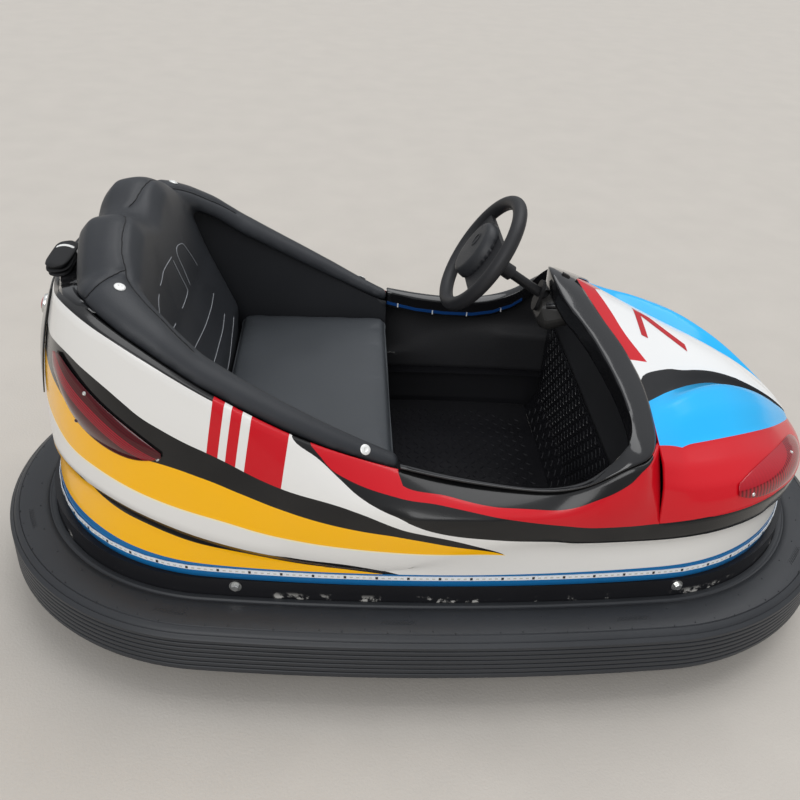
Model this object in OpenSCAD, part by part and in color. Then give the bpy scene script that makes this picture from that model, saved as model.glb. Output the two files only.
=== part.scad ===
// Two-seat fairground bumper car: an oval rubber-tyred car with a moulded
// shell, a padded tub seat, fixed rear wheels and a swivelling front drive
// unit that the steering wheel turns. Front is +X, left is +Y, floor is z = 0.

/* [Bumper tyre] */
// Half length of the tyre's outer face
tyre_half_l = 975; // [900:5:1050]
// Half width of the tyre's outer face
tyre_half_w = 557; // [520:1:600]
// How much the radius of the tyre's two ends is under its half width
tyre_ease = 20; // [10:1:40]
// How far the tyre stands out from its steel rim
tyre_depth = 106; // [90:1:115]
// Height of the tyre's lower edge over the floor
tyre_z0 = 75; // [60:1:90]
// Height of the tyre from its lower to its upper edge
tyre_h = 121; // [100:1:135]
// Moulded ribs round the tread
tread_ribs = 6; // [3:1:9]

/* [Hull] */
// How far the shell's skirt stands in from the rim at the nose and the tail
hull_in_l = 19; // [10:1:30]
// How far the shell's skirt stands in from the rim at the sides
hull_in_w = 2; // [2:0.5:10]
// How much the radius of the shell's two ends is under its half width
hull_ease = 22.5; // [15:0.5:35]
// Wall of the mouldings
wall = 8; // [5:0.5:10]
// Height of the shell's lower edge
skirt_z = 238; // [232:1:245]
// Height of the coloured band round the skirt
band_h = 46; // [36:1:52]

/* [Floor and frame] */
// Height of the floor plate's top
floor_z = 130; // [124:1:140]
// Thickness of the floor plate
floor_t = 3; // [2:0.5:5]
// Side of the frame's square tubes
tube = 40; // [30:1:40]
// Front end of the footwell floor
floor_front = 330; // [300:1:350]
// Rear end of the floor plate, behind the middle
floor_back = 300; // [250:1:320]
// Half distance between the long frame tubes
rail_y = 205; // [190:1:215]

/* [Wheels] */
// Radius of the drive wheel
drive_r = 105; // [95:1:110]
// Width of the drive wheel
drive_w = 50; // [40:1:60]
// Place of the drive unit's swivel behind the shell's nose
swivel_in = 290; // [270:1:300]
// Radius of the rear wheels
rear_r = 72; // [68:1:74]
// Width of the rear wheels
rear_w = 45; // [35:1:50]
// Place of the rear axle behind the middle
rear_x = 520; // [480:1:560]
// Half track of the rear wheels
rear_y = 300; // [290:1:310]
// Diameter of the rear axle
axle_d = 25; // [20:1:30]

/* [Steering] */
// Radius of the steering wheel at the middle of its rim
wheel_r = 125; // [115:1:135]
// Thickness of the steering wheel's rim
rim_d = 30; // [24:1:34]
// Slope of the steering column below the level
column_tilt = 33; // [28:1:36]
// Diameter of the steering shaft
shaft_d = 22; // [18:1:26]
// Wheel centre, ahead of the middle
wheel_x = 92; // [70:1:110]
// Wheel centre, over the floor
wheel_z = 776.5; // [765:0.5:800]

/* [Seat] */
// Height of the cushion's top
seat_z = 445; // [430:1:455]
// Thickness of the cushion
seat_t = 95; // [70:1:110]
// Front edge of the cushion, behind the middle
seat_front = 85; // [70:1:110]
// Depth of the cushion from front to back
seat_depth = 385; // [360:1:390]
// How far the cushion stands in from the shell's half width
seat_in = 89; // [85:1:110]
// Height of the backrest's two humps
hump_z = 878; // [860:1:900]

/* [Hidden] */
NODES = ["bumper_tyre", "bumper_rim", "frame_rails", "frame_cross_tubes", "floor_plate", "toe_board",
    "body_shell", "bonnet", "cockpit_surround", "dash_pod", "column_escutcheon",
    "steering_shaft", "steering_wheel", "wheel_hub_pad", "shaft_yoke", "swivel_yoke",
    "drive_bridge", "drive_fork", "drive_motor", "drive_wheel_tyre", "drive_wheel_hub",
    "rear_axle", "rear_wheel_tyre_left", "rear_wheel_tyre_right",
    "rear_wheel_hub_left", "rear_wheel_hub_right", "battery_block",
    "seat_base", "seat_cushion", "backrest", "arm_pad_left", "arm_pad_right",
    "side_panel_left", "side_panel_right", "headlamp_left", "headlamp_right",
    "tail_lamp_left", "tail_lamp_right", "rear_panel", "rear_lamp",
    "skirt_light_strip", "cockpit_light_strip_left", "cockpit_light_strip_right",
    "accelerator_pedal", "strap_bundle"];
$fn = 64;
seat = 0.3;          // clearance between pieces that seat on each other
running = 0.07;      // clearance all round a shaft that turns in its bore
left = 1; right = -1;
tyre_end_r = tyre_half_w - tyre_ease;
rim_l = tyre_half_l - tyre_depth;
rim_w = tyre_half_w - tyre_depth;
hull_half_l = rim_l - hull_in_l;
hull_half_w = rim_w - hull_in_w;
hull_end_r = hull_half_w - hull_ease;
swivel_x = hull_half_l - swivel_in;
seat_w = 2 * (hull_half_w - seat_in);

// Ovals: two end arcs and two flatter side arcs that meet tangent to them
function side_r(a, b, r) = (pow(a - r, 2) + b * b - r * r) / (2 * (b - r));
function end_angle(a, b, r) = 90 - atan((a - r) / (side_r(a, b, r) - b));

// A profile (x outwards from the oval, y up) swept round the whole oval
module oval_sweep(a, b, r) {
    rs = side_r(a, b, r);
    ae = end_angle(a, b, r);
    for (s = [0, 180]) rotate(s) {
        translate([a - r, 0, 0]) rotate_extrude(angle = 2 * ae, start = -ae, $fn = 128)
            translate([r, 0]) children();
        translate([0, b - rs, 0]) rotate_extrude(angle = 2 * (90 - ae), start = ae, $fn = 720)
            translate([rs, 0]) children();
    }
}

// The oval slab inside an oval, as four-arc plan shapes
module oval_plan(a, b, r) {
    rs = side_r(a, b, r);
    intersection() {
        translate([0, rs - b]) circle(rs, $fn = 720);
        translate([0, b - rs]) circle(rs, $fn = 720);
        union() {
            for (s = [1, -1]) translate([s * (a - r), 0]) circle(r, $fn = 128);
            square([2 * (a - r), 2 * b], center = true);
        }
    }
}

// Station t runs from 0 at the nose to 180 at the tail, left side positive.
// The end arc takes 54 degrees of it and half a side arc 36.
end_share = 54;
hull_rs = side_r(hull_half_l, hull_half_w, hull_end_r);
hull_ae = end_angle(hull_half_l, hull_half_w, hull_end_r);
hull_cx = hull_half_l - hull_end_r;
function quarter(t, o) = t <= end_share
    ? let (a = t / end_share * hull_ae) [hull_cx + (hull_end_r + o) * cos(a), (hull_end_r + o) * sin(a)]
    : let (a = hull_ae + (t - end_share) / (90 - end_share) * (90 - hull_ae))
        [(hull_rs + o) * cos(a), hull_half_w - hull_rs + (hull_rs + o) * sin(a)];
function hull_at(t, o, z) = let (u = abs(t), q = quarter(u <= 90 ? u : 180 - u, o))
    [(u <= 90 ? 1 : -1) * q[0], sign(t) * q[1], z];

// Smooth curve through the rows of a table, looked up by its first column
function row_of(x, T, i = 0) = i >= len(T) - 2 || x < T[i + 1][0] ? i : row_of(x, T, i + 1);
function slope(T, c, i) = let (a = max(i - 1, 0), b = min(i + 1, len(T) - 1))
    (T[b][c] - T[a][c]) / (T[b][0] - T[a][0]);
function curve(x, T, c) = let (i = row_of(x, T), h = T[i + 1][0] - T[i][0],
    s = min(max((x - T[i][0]) / h, 0), 1), m = slope(T, c, i) * h, n = slope(T, c, i + 1) * h)
    T[i][c] * (1 + 2 * s) * pow(1 - s, 2) + m * s * pow(1 - s, 2)
    + T[i + 1][c] * s * s * (3 - 2 * s) + n * s * s * (s - 1);
function mix(a, b, s) = a + (b - a) * s;
function unit(v) = v / norm(v);
function mirrored(p) = [p[0], -p[1], p[2]];
// Tables of x, y, z were drawn on a shell of this half length and half width
DRAWN = [850, 449];
function sized(T) = [for (p = T) [for (i = [0 : len(p) - 1])
    p[i] * [hull_half_l / DRAWN[0], hull_half_w / DRAWN[1], 1][i % 3]]];

// A wall between two grids of points, P outside and Q inside, both [column][row].
// on(column, row) says which of the squares are there.
function grid_faces(nc, nr, ring, on) =
    let (N = nc * nr, k = function (c, r) (c % nc) * nr + r,
        last = ring ? nc : nc - 1,
        has = function (c, r) (ring || (c >= 0 && c < last)) && r >= 0 && r < nr - 1 && on((c + nc) % nc, r))
    [for (c = [0 : last - 1]) for (r = [0 : nr - 2]) if (has(c, r))
        let (a = k(c, r), b = k(c + 1, r), d = k(c, r + 1), e = k(c + 1, r + 1))
        each [[a, d, e], [a, e, b], [N + a, N + e, N + d], [N + a, N + b, N + e],
            if (!has(c, r - 1)) each [[a, b, N + b], [a, N + b, N + a]],
            if (!has(c, r + 1)) each [[d, N + d, N + e], [d, N + e, e]],
            if (!has(c - 1, r)) each [[a, N + a, N + d], [a, N + d, d]],
            if (!has(c + 1, r)) each [[b, e, N + e], [b, N + e, N + b]]]];
function flat(G) = [for (c = G) each c];
module skin(P, Q, ring = false, on = function (c, r) true)
    polyhedron(concat(flat(P), flat(Q)), grid_faces(len(P), len(P[0]), ring, on));

// A solid through closed sections, each a loop of the same number of points
module loft(S) {
    n = len(S[0]);
    m = len(S);
    polyhedron(flat(S), concat(
        [for (i = [0 : m - 2]) for (j = [0 : n - 1])
            let (a = i * n + j, b = i * n + (j + 1) % n) each [[a, b, b + n], [a, b + n, a + n]]],
        [[for (j = [n - 1 : -1 : 0]) j]], [[for (j = [0 : n - 1]) (m - 1) * n + j]]));
}

// Shell sections, one row per station:
// t, crease z, crease out, undercut, widest z, widest out, top z, top out, deck width, deck rise
SHELL = [
    [0,   335,   8, 14, 385, 16, 545, -43, 10, 0],
    [20,  345,  12, 14, 400, 20, 545, -43, 10, 0],
    [40,  372,  22, 20, 423, 26, 550, -43, 10, 0],
    [58,  369,  28, 24, 414, 30, 552, -43, 10, 0],
    [60.4, 369, 28, 24, 414, 30, 545,   3, 10, 0],
    [63.5, 369, 28, 23, 414, 30, 538,  11, 10, 0],
    [68,  369,  28, 22, 415, 30, 499,   8, 10, 0],
    [70.5, 371, 28, 20, 419, 30, 477,   2, 10, 0],
    [74.5, 373, 27, 18, 424, 29, 464,  -8, 10, 0],
    [85,  360,  20,  6, 430, 27, 465, -32, 10, 0],
    [97,  300,  12,  8, 425, 24, 493, -45,  6, 0],
    [110, 310,  16, 16, 430, 22, 562, -20,  8, 2],
    [120, 332,  18, 20, 440, 20, 632,  -9, 12, 2],
    [133, 375,  14, 22, 460, 14, 727,  -2, 18, 3],
    [146, 398,   8, 22, 480,  8, 782,  -4, 24, 5],
    [153, 394,   6, 20, 485,  6, 786, -18, 34, 2],
    [160, 388,   4, 18, 490,  3, 764, -42, 42, -2],
    [170, 374,   3, 17, 484,  2, 752, -58, 48, -3],
    [180, 365,   2, 16, 480,  2, 748, -64, 50, -3]];
cowl_t = 58;         // station where the bonnet gives way to the cockpit's side
function shell_z(t, c) = curve(abs(t), SHELL, c);
// rows up the shell: skirt, band top, undercut, crease, widest, two between, top, deck edge
side_rows = 3;
function upper(t, w, o = 0) = hull_at(t,
    mix(shell_z(t, 5), shell_z(t, 7), w) + 10 * 4 * w * (1 - w) + o,
    mix(shell_z(t, 4), shell_z(t, 6), w));
function shell_column(t, o) = concat(
    [hull_at(t, 2 + o, skirt_z), hull_at(t, 2 + o, skirt_z + band_h),
     hull_at(t, shell_z(t, 2) - shell_z(t, 3) + o, shell_z(t, 1) - 20),
     hull_at(t, shell_z(t, 2) + o, shell_z(t, 1)), hull_at(t, shell_z(t, 5) + o, shell_z(t, 4))],
    [for (i = [1 : side_rows]) upper(t, i / side_rows, o)],
    [hull_at(t, shell_z(t, 7) - shell_z(t, 8) + o * 0.3, shell_z(t, 6) + shell_z(t, 9) + o * 0.6)]);
STATIONS = [0, each [2 : 4 : 54], 58, 60.4, 62, 63.5, 66, 69, each [73 : 4 : 145], each [150 : 5 : 175]];
RING = concat(STATIONS, [180], [for (i = [len(STATIONS) - 1 : -1 : 1]) -STATIONS[i]]);

module body_shell() color("gainsboro")
    skin([for (t = RING) shell_column(t, 0)], [for (t = RING) shell_column(t, -wall)], true,
        function (c, r) r < 4 || (abs(RING[c]) >= cowl_t && abs(RING[(c + 1) % len(RING)]) >= cowl_t));

// Bonnet: feature lines from the cowl to the nose, each a table of x, y, z
CENTRE = sized([[303, 0, 725], [404, 0, 673], [500, 0, 625], [600, 0, 578], [700, 0, 527],
    [780, 0, 472], [836, 0, 423], [867, 0, 389]]);
STEP_TOP = sized([[409, 235, 603], [466, 184, 591], [528, 137, 574], [588, 102, 558], [646, 79, 538],
    [704, 65, 512], [762, 55, 480], [813, 44, 445], [854, 27, 407], [866, 8, 388]]);
STEP_FOOT = sized([[413, 286, 587], [485, 210, 567], [552, 150, 547], [613, 112, 532], [673, 88, 509],
    [735, 70, 480], [800, 52, 440], [837, 38, 415], [866, 12, 387]]);
EDGE = sized([[412.6, 387, 552], [470, 355, 529], [518, 335, 523], [569, 312, 518], [622, 285, 510],
    [690, 235, 489], [745, 185, 466], [800, 122, 437], [840, 70, 413], [866, 17, 387]]);
wing_crown = [0.22, 0.17];  // rise of the wing at its thirds, as a share of its width
nose_t = 2;
function along(T, g) = let (x = mix(T[0][0], T[len(T) - 1][0], g)) [x, curve(x, T, 1), curve(x, T, 2)];
function widest(t) = hull_at(t, shell_z(t, 5), shell_z(t, 4));
// g runs from 0 at the cowl to 1 at the nose; the same stations as the shell's
function station_g(t) = (widest(t)[0] - widest(cowl_t)[0]) / (widest(nose_t)[0] - widest(cowl_t)[0]);
// shoulder of the bonnet from its top edge, u = 0, round to the shell, u = 1
function shoulder(t, u) = let (e = along(EDGE, station_g(t)), m = widest(t),
    k = [mix(e[0], m[0], 0.93), mix(e[1], m[1], 0.93), mix(e[2], m[2], 0.12)])
    e * pow(1 - u, 2) + k * 2 * u * (1 - u) + m * u * u;
function bonnet_half(t) = let (g = station_g(t), c = along(CENTRE, g), s = along(STEP_TOP, g),
        f = along(STEP_FOOT, g), e = along(EDGE, g))
    [c, mix(c, s, 0.5) + [0, 0, 4], s, f, for (i = [0, 1]) mix(f, e, (i + 1) / 3)
            + [0, 0, wing_crown[i] * (e[1] - f[1]) * min(1, g * 5)],
        e, shoulder(t, 0.3), shoulder(t, 0.6), shoulder(t, 0.82), widest(t)];
function bonnet_row(t) = let (h = bonnet_half(t), n = len(h)) concat(
    [for (i = [n - 1 : -1 : 1]) mirrored(h[i])], h);
BONNET_T = [58, 54, 50, 46, 42, 38, 34, 30, 26, 22, 18, 14, 10, 6, 2];
BONNET = [for (t = BONNET_T) bonnet_row(t)];
function normal_at(G, c, r) = let (a = G[max(c - 1, 0)][r], b = G[min(c + 1, len(G) - 1)][r],
        d = G[c][max(r - 1, 0)], e = G[c][min(r + 1, len(G[0]) - 1)])
    unit(cross(b - a, e - d));
function shifted(G, d) = [for (c = [0 : len(G) - 1]) [for (r = [0 : len(G[0]) - 1]) G[c][r] + d * normal_at(G, c, r)]];

// Inside of the bonnet: square to its face, turning level towards the nose, level where
// it stands on the shell, and in one plane with the shell's end at the cowl
COWL_DIR = unit(widest(cowl_t - 1) - widest(cowl_t + 1));
BONNET_OUT = [for (c = [0 : len(BONNET) - 1]) [for (r = [0 : len(BONNET[0]) - 1])
    BONNET[c][r] + [c > 0 ? 0 : seat, 0, 0]]];
function level_out(t) = unit(hull_at(t, 1, 0) - hull_at(t, 0, 0));
function bonnet_inner(c, r, nc, nr) = let (p = BONNET_OUT[c][r], n = normal_at(BONNET, c, r), s = r < nr / 2 ? -1 : 1,
        l = level_out(s * BONNET_T[c]), d = [COWL_DIR[0], s * COWL_DIR[1], 0])
    p - wall * (r == 0 || r == nr - 1 ? l : c == 0 ? unit(n - (n * d) * d) : unit(mix(n, l, pow(c / (nc - 1), 3))));
BONNET_IN = let (nc = len(BONNET), nr = len(BONNET[0]))
    [for (c = [0 : nc - 1]) [for (r = [0 : nr - 1]) bonnet_inner(c, r, nc, nr)]];
module raised(d) translate([0, 0, d]) children();
module bonnet() color("firebrick") raised(0.5) skin(BONNET_OUT, BONNET_IN);

// Black surround of the cockpit: outer edge x, y, z and inner edge x, y, z
SURROUND = sized([
    [303, 0, 725, 240, 0, 749], [343, 102, 676.6, 256, 75, 713], [378, 155, 647.2, 283, 118, 693],
    [396, 200, 622, 309, 161, 670], [408, 239, 605, 332, 215, 641], [413, 286, 587, 350, 271, 616],
    [413, 340, 567, 361, 330, 590], [409, 387, 552, 360, 374, 577], [385, 435, 546, 346, 412, 566],
    [345, 447, 540, 322, 424, 538], [291, 447, 503, 285, 424, 494], [257, 442, 482, 255, 420, 475],
    [202, 436, 468, 204, 413, 459], [146, 425, 465, 148, 403, 455], [69, 416, 469, 71, 394, 461],
    [-10, 410, 480, -9, 388, 473], [-88, 404, 497, -87, 384, 493]]);
lip = 44;            // depth of the surround's inner lip
function surround_column(s) = let (o = [s[0], s[1], s[2]], i = [s[3], s[4], s[5]])
    [o, mix(o, i, 0.5) + [0, 0, 3], i, i + [0, 0, -lip * 0.5], i + [0, 0, -lip]];
SURROUND_HALF = [for (s = SURROUND) surround_column(s)];
SURROUND_ALL = concat([for (i = [len(SURROUND_HALF) - 1 : -1 : 1]) [for (p = SURROUND_HALF[i]) mirrored(p)]], SURROUND_HALF);

module cockpit_surround() color("#16171a") raised(5) skin(SURROUND_ALL, shifted(SURROUND_ALL, -4));

// Steering
function on_column(d) = [wheel_x + d * cos(column_tilt), 0, wheel_z - d * sin(column_tilt)];
module on_axis(d) translate(on_column(d)) rotate([0, 90 + column_tilt, 0]) children();
joint_d = (swivel_x - wheel_x) / cos(column_tilt);   // from wheel centre to the swivel's axis
joint_z = on_column(joint_d)[2];

web_h = 116;         // height of the wheel's flat web, which spans it from side to side
collar_end = 82;     // end of the collar behind the wheel, along the column
module steering_wheel() color("#1b1c1f") on_axis(0) {
    rotate_extrude($fn = 96) translate([wheel_r, 0]) circle(d = rim_d, $fn = 24);
    translate([0, 0, -5]) intersection() {
        cylinder(r = wheel_r, h = 12);
        translate([-web_h / 2, -wheel_r, 0]) cube([web_h, 2 * wheel_r, 12]);
    }
    translate([0, 0, 4]) cylinder(r = 30, h = 26);
    cylinder(r = 17, h = collar_end);
}
pad_h = 24;          // how far the hub pad stands over the wheel's web
module wheel_hub_pad() color("#24262a") on_axis(-5 - seat) hull()
    for (row = [[0, 66, 60], [-pad_h + 8, 64, 54], [-pad_h + 2, 60, 47], [-pad_h, 54, 41]])
        translate([0, 0, row[0]]) linear_extrude(0.01) scale([row[1], row[2]]) circle(1, $fn = 48);
module steering_shaft() color("silver")
    on_axis(collar_end + seat) cylinder(d = shaft_d, h = joint_d - collar_end - yoke_gap - 30 - 2 * seat);
yoke_gap = 16;       // from the joint's centre to each yoke
module shaft_yoke() color("gray") on_axis(joint_d - yoke_gap - 30) cylinder(d = 34, h = 30);
module swivel_yoke() color("gray") {
    translate([swivel_x, 0, joint_z - yoke_gap - 30]) cylinder(d = 34, h = 30);
    translate([swivel_x, 0, joint_z - yoke_gap - 1]) cylinder(d = 12, h = yoke_gap + 1);
    translate([swivel_x, 0, joint_z]) sphere(d = 18);
}
plate_at = [232, 0, 680];  // middle of the face that the bearing plate seats on
plate_lean = 14;
plate_t = 8;
module on_plate() translate(plate_at) rotate([0, 90 + plate_lean, 0]) children();
module dash_pod() color("#3a3a38") difference() {
    union() {
        hull() for (s = [-1, 1]) for (b = [[276, 30, 690, 14], [236, 30, 664, 14], [250, 26, 641, 28], [300, 45, 660, 20]])
            translate([b[0], s * b[1], b[2]]) sphere(r = b[3], $fn = 24);
        translate([0, 4, 0]) rotate([90, 0, 0]) linear_extrude(8) polygon([[268, 680], [300, 672], [290, 729.7], [275, 737.1]]);
    }
    on_plate() translate([-70, -70, -50]) cube([140, 140, 50]);
    on_axis(120) cylinder(d = shaft_d + 10, h = 160);
}
module column_escutcheon() color("#101114") difference() {
    on_plate() translate([0, 0, -plate_t - seat])
        hull() for (s = [-1, 1]) translate([s * 16.5, 0, 0]) cylinder(d = 38, h = plate_t, $fn = 32);
    on_axis(120) cylinder(d = shaft_d + 2 * running, h = 100);
}

// Drive unit under the bonnet
bridge_z = 330;      // underside of the bridge that holds the swivel
bridge_y = 250;
stem_d = 30;         // stem of the fork that turns in the bridge
module drive_bridge() color("#2b2d30") difference() {
    union() {
        translate([swivel_x - 60, -bridge_y, bridge_z]) cube([120, 2 * bridge_y, 8]);
        for (s = [-1, 1]) translate([swivel_x - 60, s * bridge_y - 4, floor_z - floor_t + seat]) cube([120, 8, bridge_z - floor_z + floor_t + 8 - seat]);
        translate([swivel_x, 0, bridge_z]) cylinder(d = 90, h = 70);
    }
    translate([swivel_x, 0, bridge_z - 1]) cylinder(d = stem_d + 2 * running, h = 90);
}
module drive_fork() color("#3a3d40") {
    translate([swivel_x, 0, bridge_z - 20]) cylinder(d = 150, h = 12);
    translate([swivel_x, 0, bridge_z - 20]) cylinder(d = stem_d, h = joint_z - yoke_gap - 30 - bridge_z + 20 - seat);
    difference() {
        for (y = [-46, 34]) translate([swivel_x - 35, y, drive_r - 35]) cube([70, 12, bridge_z - 14 - drive_r + 35]);
        translate([swivel_x, 0, drive_r]) rotate([90, 0, 0]) cylinder(d = 25, h = 200, center = true);
    }
}
module drive_motor() color("#55585c") {
    translate([swivel_x, -46 - seat, drive_r]) rotate([90, 0, 0]) cylinder(d = 130, h = 118);
    translate([swivel_x, -46 - seat - 118, drive_r]) rotate([90, 0, 0]) cylinder(d = 90, h = 16);
}
module wheel_tyre(r, w, bore) rotate([90, 0, 0]) rotate_extrude($fn = 96) polygon([
    [bore, -w / 2], [r - 8, -w / 2], [r, -w / 2 + 8], [r, w / 2 - 8], [r - 8, w / 2], [bore, w / 2]]);
module wheel_hub(r, w, bore) rotate([90, 0, 0]) rotate_extrude($fn = 64) polygon([
    [bore, -w / 2 - 4], [bore + 14, -w / 2 - 4], [bore + 14, -6], [r - 10, -6], [r - 10, -w / 2], [r - seat, -w / 2],
    [r - seat, w / 2], [r - 10, w / 2], [r - 10, 6], [bore + 14, 6], [bore + 14, w / 2 + 4], [bore, w / 2 + 4]]);
module drive_wheel_tyre() color("#222222") translate([swivel_x, 0, drive_r]) wheel_tyre(drive_r, drive_w, 68);
module drive_wheel_hub() color("lightgray") translate([swivel_x, 0, drive_r]) {
    wheel_hub(68, drive_w, 0.01);
    rotate([90, 0, 0]) cylinder(d = 24.4, h = 90, center = true);
}

// Rear axle and wheels
module rear_axle() color("gray") {
    translate([-rear_x, 0, rear_r]) rotate([90, 0, 0]) cylinder(d = axle_d, h = 2 * (rear_y + rear_w / 2 + 12), center = true);
    for (s = [-1, 1]) translate([-rear_x - 30, s * (rail_y + tube / 2 + 6) - 6, rear_r - 25])
        cube([60, 12, frame_z - rear_r + 25 + tube]);
}
module rear_wheel_tyre(s) color("#222222") translate([-rear_x, s * rear_y, rear_r]) wheel_tyre(rear_r, rear_w, 50);
module rear_wheel_hub(s) color("lightgray") translate([-rear_x, s * rear_y, rear_r]) wheel_hub(50, rear_w, axle_d / 2 + 0.15);

// Frame, rim and floor
frame_z = floor_z - floor_t - tube;
cross_front = 322;   // back face of the front cross tube
anchor_x = -440;     // belt anchor holes through the long tubes
anchor_d = 12;
rim_t = 5;           // steel of the rim
shelf_w = 34;        // shelf on the rim that the shell stands on
module bumper_rim() color("#1a1a1c")
    oval_sweep(rim_l, rim_w, tyre_end_r - tyre_depth)
        polygon([[-rim_t, tyre_z0 + 12], [38, tyre_z0 + 12], [38, tyre_z0 + 16], [-seat, tyre_z0 + 16],
            [-seat, skirt_z - seat], [-shelf_w, skirt_z - seat], [-shelf_w, skirt_z - seat - rim_t], [-rim_t, skirt_z - seat - rim_t]]);
// Frame tubes end on the inside of the rim
module inside_rim() intersection() {
    translate([0, 0, frame_z]) children();
    linear_extrude(floor_z) oval_plan(rim_l - rim_t - seat, rim_w - rim_t - seat, tyre_end_r - tyre_depth - rim_t - seat);
}
module frame_rails() color("#202225") for (s = [-1, 1]) difference() {
    inside_rim() translate([-rim_l, s * rail_y - tube / 2, 0]) cube([rim_l + cross_front, tube, tube]);
    translate([anchor_x, s * rail_y, frame_z - 1]) cylinder(d = anchor_d, h = tube + 2);
}
module frame_cross_tubes() color("#202225") {
    for (x = [-780, -300, 40]) translate([x, tube / 2 - rail_y, frame_z]) cube([tube, 2 * rail_y - tube, tube]);
    translate([cross_front, -bridge_y - tube / 2, frame_z]) cube([tube, 2 * bridge_y + tube, tube]);
    for (s = [-1, 1]) {
        inside_rim() translate([cross_front + tube, s * bridge_y - tube / 2, 0]) cube([rim_l, tube, tube]);
        inside_rim() translate([-150 - tube / 2, s > 0 ? rail_y + tube / 2 : -rim_w, 0]) cube([tube, rim_w - rail_y - tube / 2, tube]);
    }
}
module floor_plate() color("#17181a") intersection() {
    translate([-floor_back, -hull_half_w, floor_z - floor_t]) cube([floor_back + floor_front, 2 * hull_half_w, floor_t]);
    linear_extrude(floor_z + 1) oval_plan(hull_half_l - 15, hull_half_w - 15, hull_end_r - 15);
}
toe_w = hull_half_w - 49;
module toe_board() color("#17181a") skin(
    [for (y = [toe_w, -toe_w]) [[floor_front, y, floor_z + seat], [floor_front + 30, y, floor_z + 60], [floor_front + 32, y, 420]]],
    [for (y = [toe_w, -toe_w]) [[floor_front + 4, y, floor_z + seat], [floor_front + 34, y, floor_z + 60], [floor_front + 36, y, 420]]]);
module battery_block() color("#2d2f33") translate([40 - seat_front - seat_depth, 25 - rail_y, floor_z + seat])
    cube([seat_depth - 65, 2 * rail_y - 50, 200]);
module bumper_tyre() color("#26272a")
    oval_sweep(rim_l, rim_w, tyre_end_r - tyre_depth)
        polygon(concat([[0, tyre_z0 + 16 + seat], [40, tyre_z0 + 16 + seat], [50, tyre_z0], [tyre_depth - 14, tyre_z0]],
            [for (i = [0 : tread_ribs - 1]) let (h = (tyre_h - 26) / tread_ribs, z = tyre_z0 + 6 + i * h)
                each [[tyre_depth - 4, z + 3], [tyre_depth, z + 6], [tyre_depth, z + h - 1]]],
            [[tyre_depth - 6, tyre_z0 + tyre_h - 12], [tyre_depth - 22, tyre_z0 + tyre_h - 4], [tyre_depth - 60, tyre_z0 + tyre_h], [0, tyre_z0 + tyre_h]]));

// Seat
module seat_base() color("#17181a") difference() {
    translate([-seat_front - seat_depth, -seat_w / 2, floor_z + seat]) cube([seat_depth - 15, seat_w, seat_z - seat_t - seat - floor_z - seat]);
    translate([-seat_front - seat_depth - 1, -seat_w / 2 + 8, floor_z]) cube([seat_depth - 15 - 8 + 1, seat_w - 16, seat_z - seat_t - floor_z - 8]);
}
module seat_cushion() color("#3c3f44") translate([-seat_front - seat_depth, -seat_w / 2, seat_z - seat_t]) hull() {
    for (x = [28, seat_depth - 28]) for (y = [28, seat_w - 28]) {
        translate([x, y, 0]) cylinder(r = 28, h = seat_t - 18, $fn = 32);
        translate([x, y, seat_t - 10]) cylinder(r = 18, h = 10, $fn = 32);
    }
}
// Backrest: one section per place across the seat. Share of the half width, height
// over the humps' crest, and x of the crest
back_w = hull_half_w - 159;
BACK = [[0, -36, -645], [0.14, -26, -648], [0.28, -8, -652], [0.41, 0, -650], [0.52, -9, -648],
    [0.69, -30, -644], [0.86, -60, -638], [1, -98, -628]];
function back_section(f) = let (a = abs(f), y = f * back_w, t = hump_z + curve(a, BACK, 1), x = curve(a, BACK, 2),
        b = -seat_front - seat_depth - seat, d = mix(0, 12, a * a)) [
    [b, y, seat_z - seat_t + 6], [b, y, seat_z + seat], [b - 8 + d, y, seat_z + 50], [mix(b, x, 0.38), y, 640], [x + 76, y, t - 86],
    [x + 60, y, t - 34], [x + 34, y, t - 6], [x, y, t], [x - mix(46, 34, a), y, t - 8],
    [x - mix(74, 50, a), y, t - 36], [x - mix(86, 56, a), y, t - 90], [x - mix(72, 40, a), y, t - 128], [x + 45, y, 620], [-540, y, seat_z - seat_t + 6]];
BACK_F = [1, 0.93, 0.86, 0.78, 0.69, 0.6, 0.52, 0.41, 0.34, 0.28, 0.2, 0.14, 0.07];
BACK_Y = concat([for (f = BACK_F) -f], [0], [for (i = [len(BACK_F) - 1 : -1 : 0]) BACK_F[i]]);
// Arm pads: a rounded roll along the shell's top edge; t, lift over the deck, height
// over its middle, half width
PAD = [[97, 0, 16, 16], [104, 3, 23, 21], [112, 4, 30, 27], [120, 3, 32, 31], [128, 0, 35, 37],
    [136, -2, 38, 45], [142, 0, 37, 52], [147, 3, 33, 56], [150, 4, 23, 50], [152.5, 6, 4, 40]];
PAD_T = [97, 99, 103, 108, 114, 120, 126, 132, 138, 143, 147, 150, 152.5];
// Offset and height of the roll's middle, beside the deck's inner edge
function pad_out(t) = shell_z(t, 7) - shell_z(t, 8) - 0.3 * wall - 3 * seat - curve(t, PAD, 3) - 4;
function pad_z(t) = shell_z(t, 6) + shell_z(t, 9) - 2 + curve(t, PAD, 1);
function pad_section(t, o) = [for (a = [0 : 30 : 330])
    hull_at(t, pad_out(t) + (curve(t, PAD, 3) + 4 + o) * cos(a), pad_z(t) + (a < 180 ? curve(t, PAD, 2) + o : 12 + o) * sin(a))];
module roll(s, o = 0) scale([1, s, 1]) loft([for (t = PAD_T) pad_section(t, o)]);
module arm_pad(s) color("#3c3f44") roll(s);
module backrest() color("#3c3f44") difference() {
    loft([for (y = BACK_Y) back_section(y)]);
    for (s = [left, right]) roll(s, seat);
}
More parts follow.
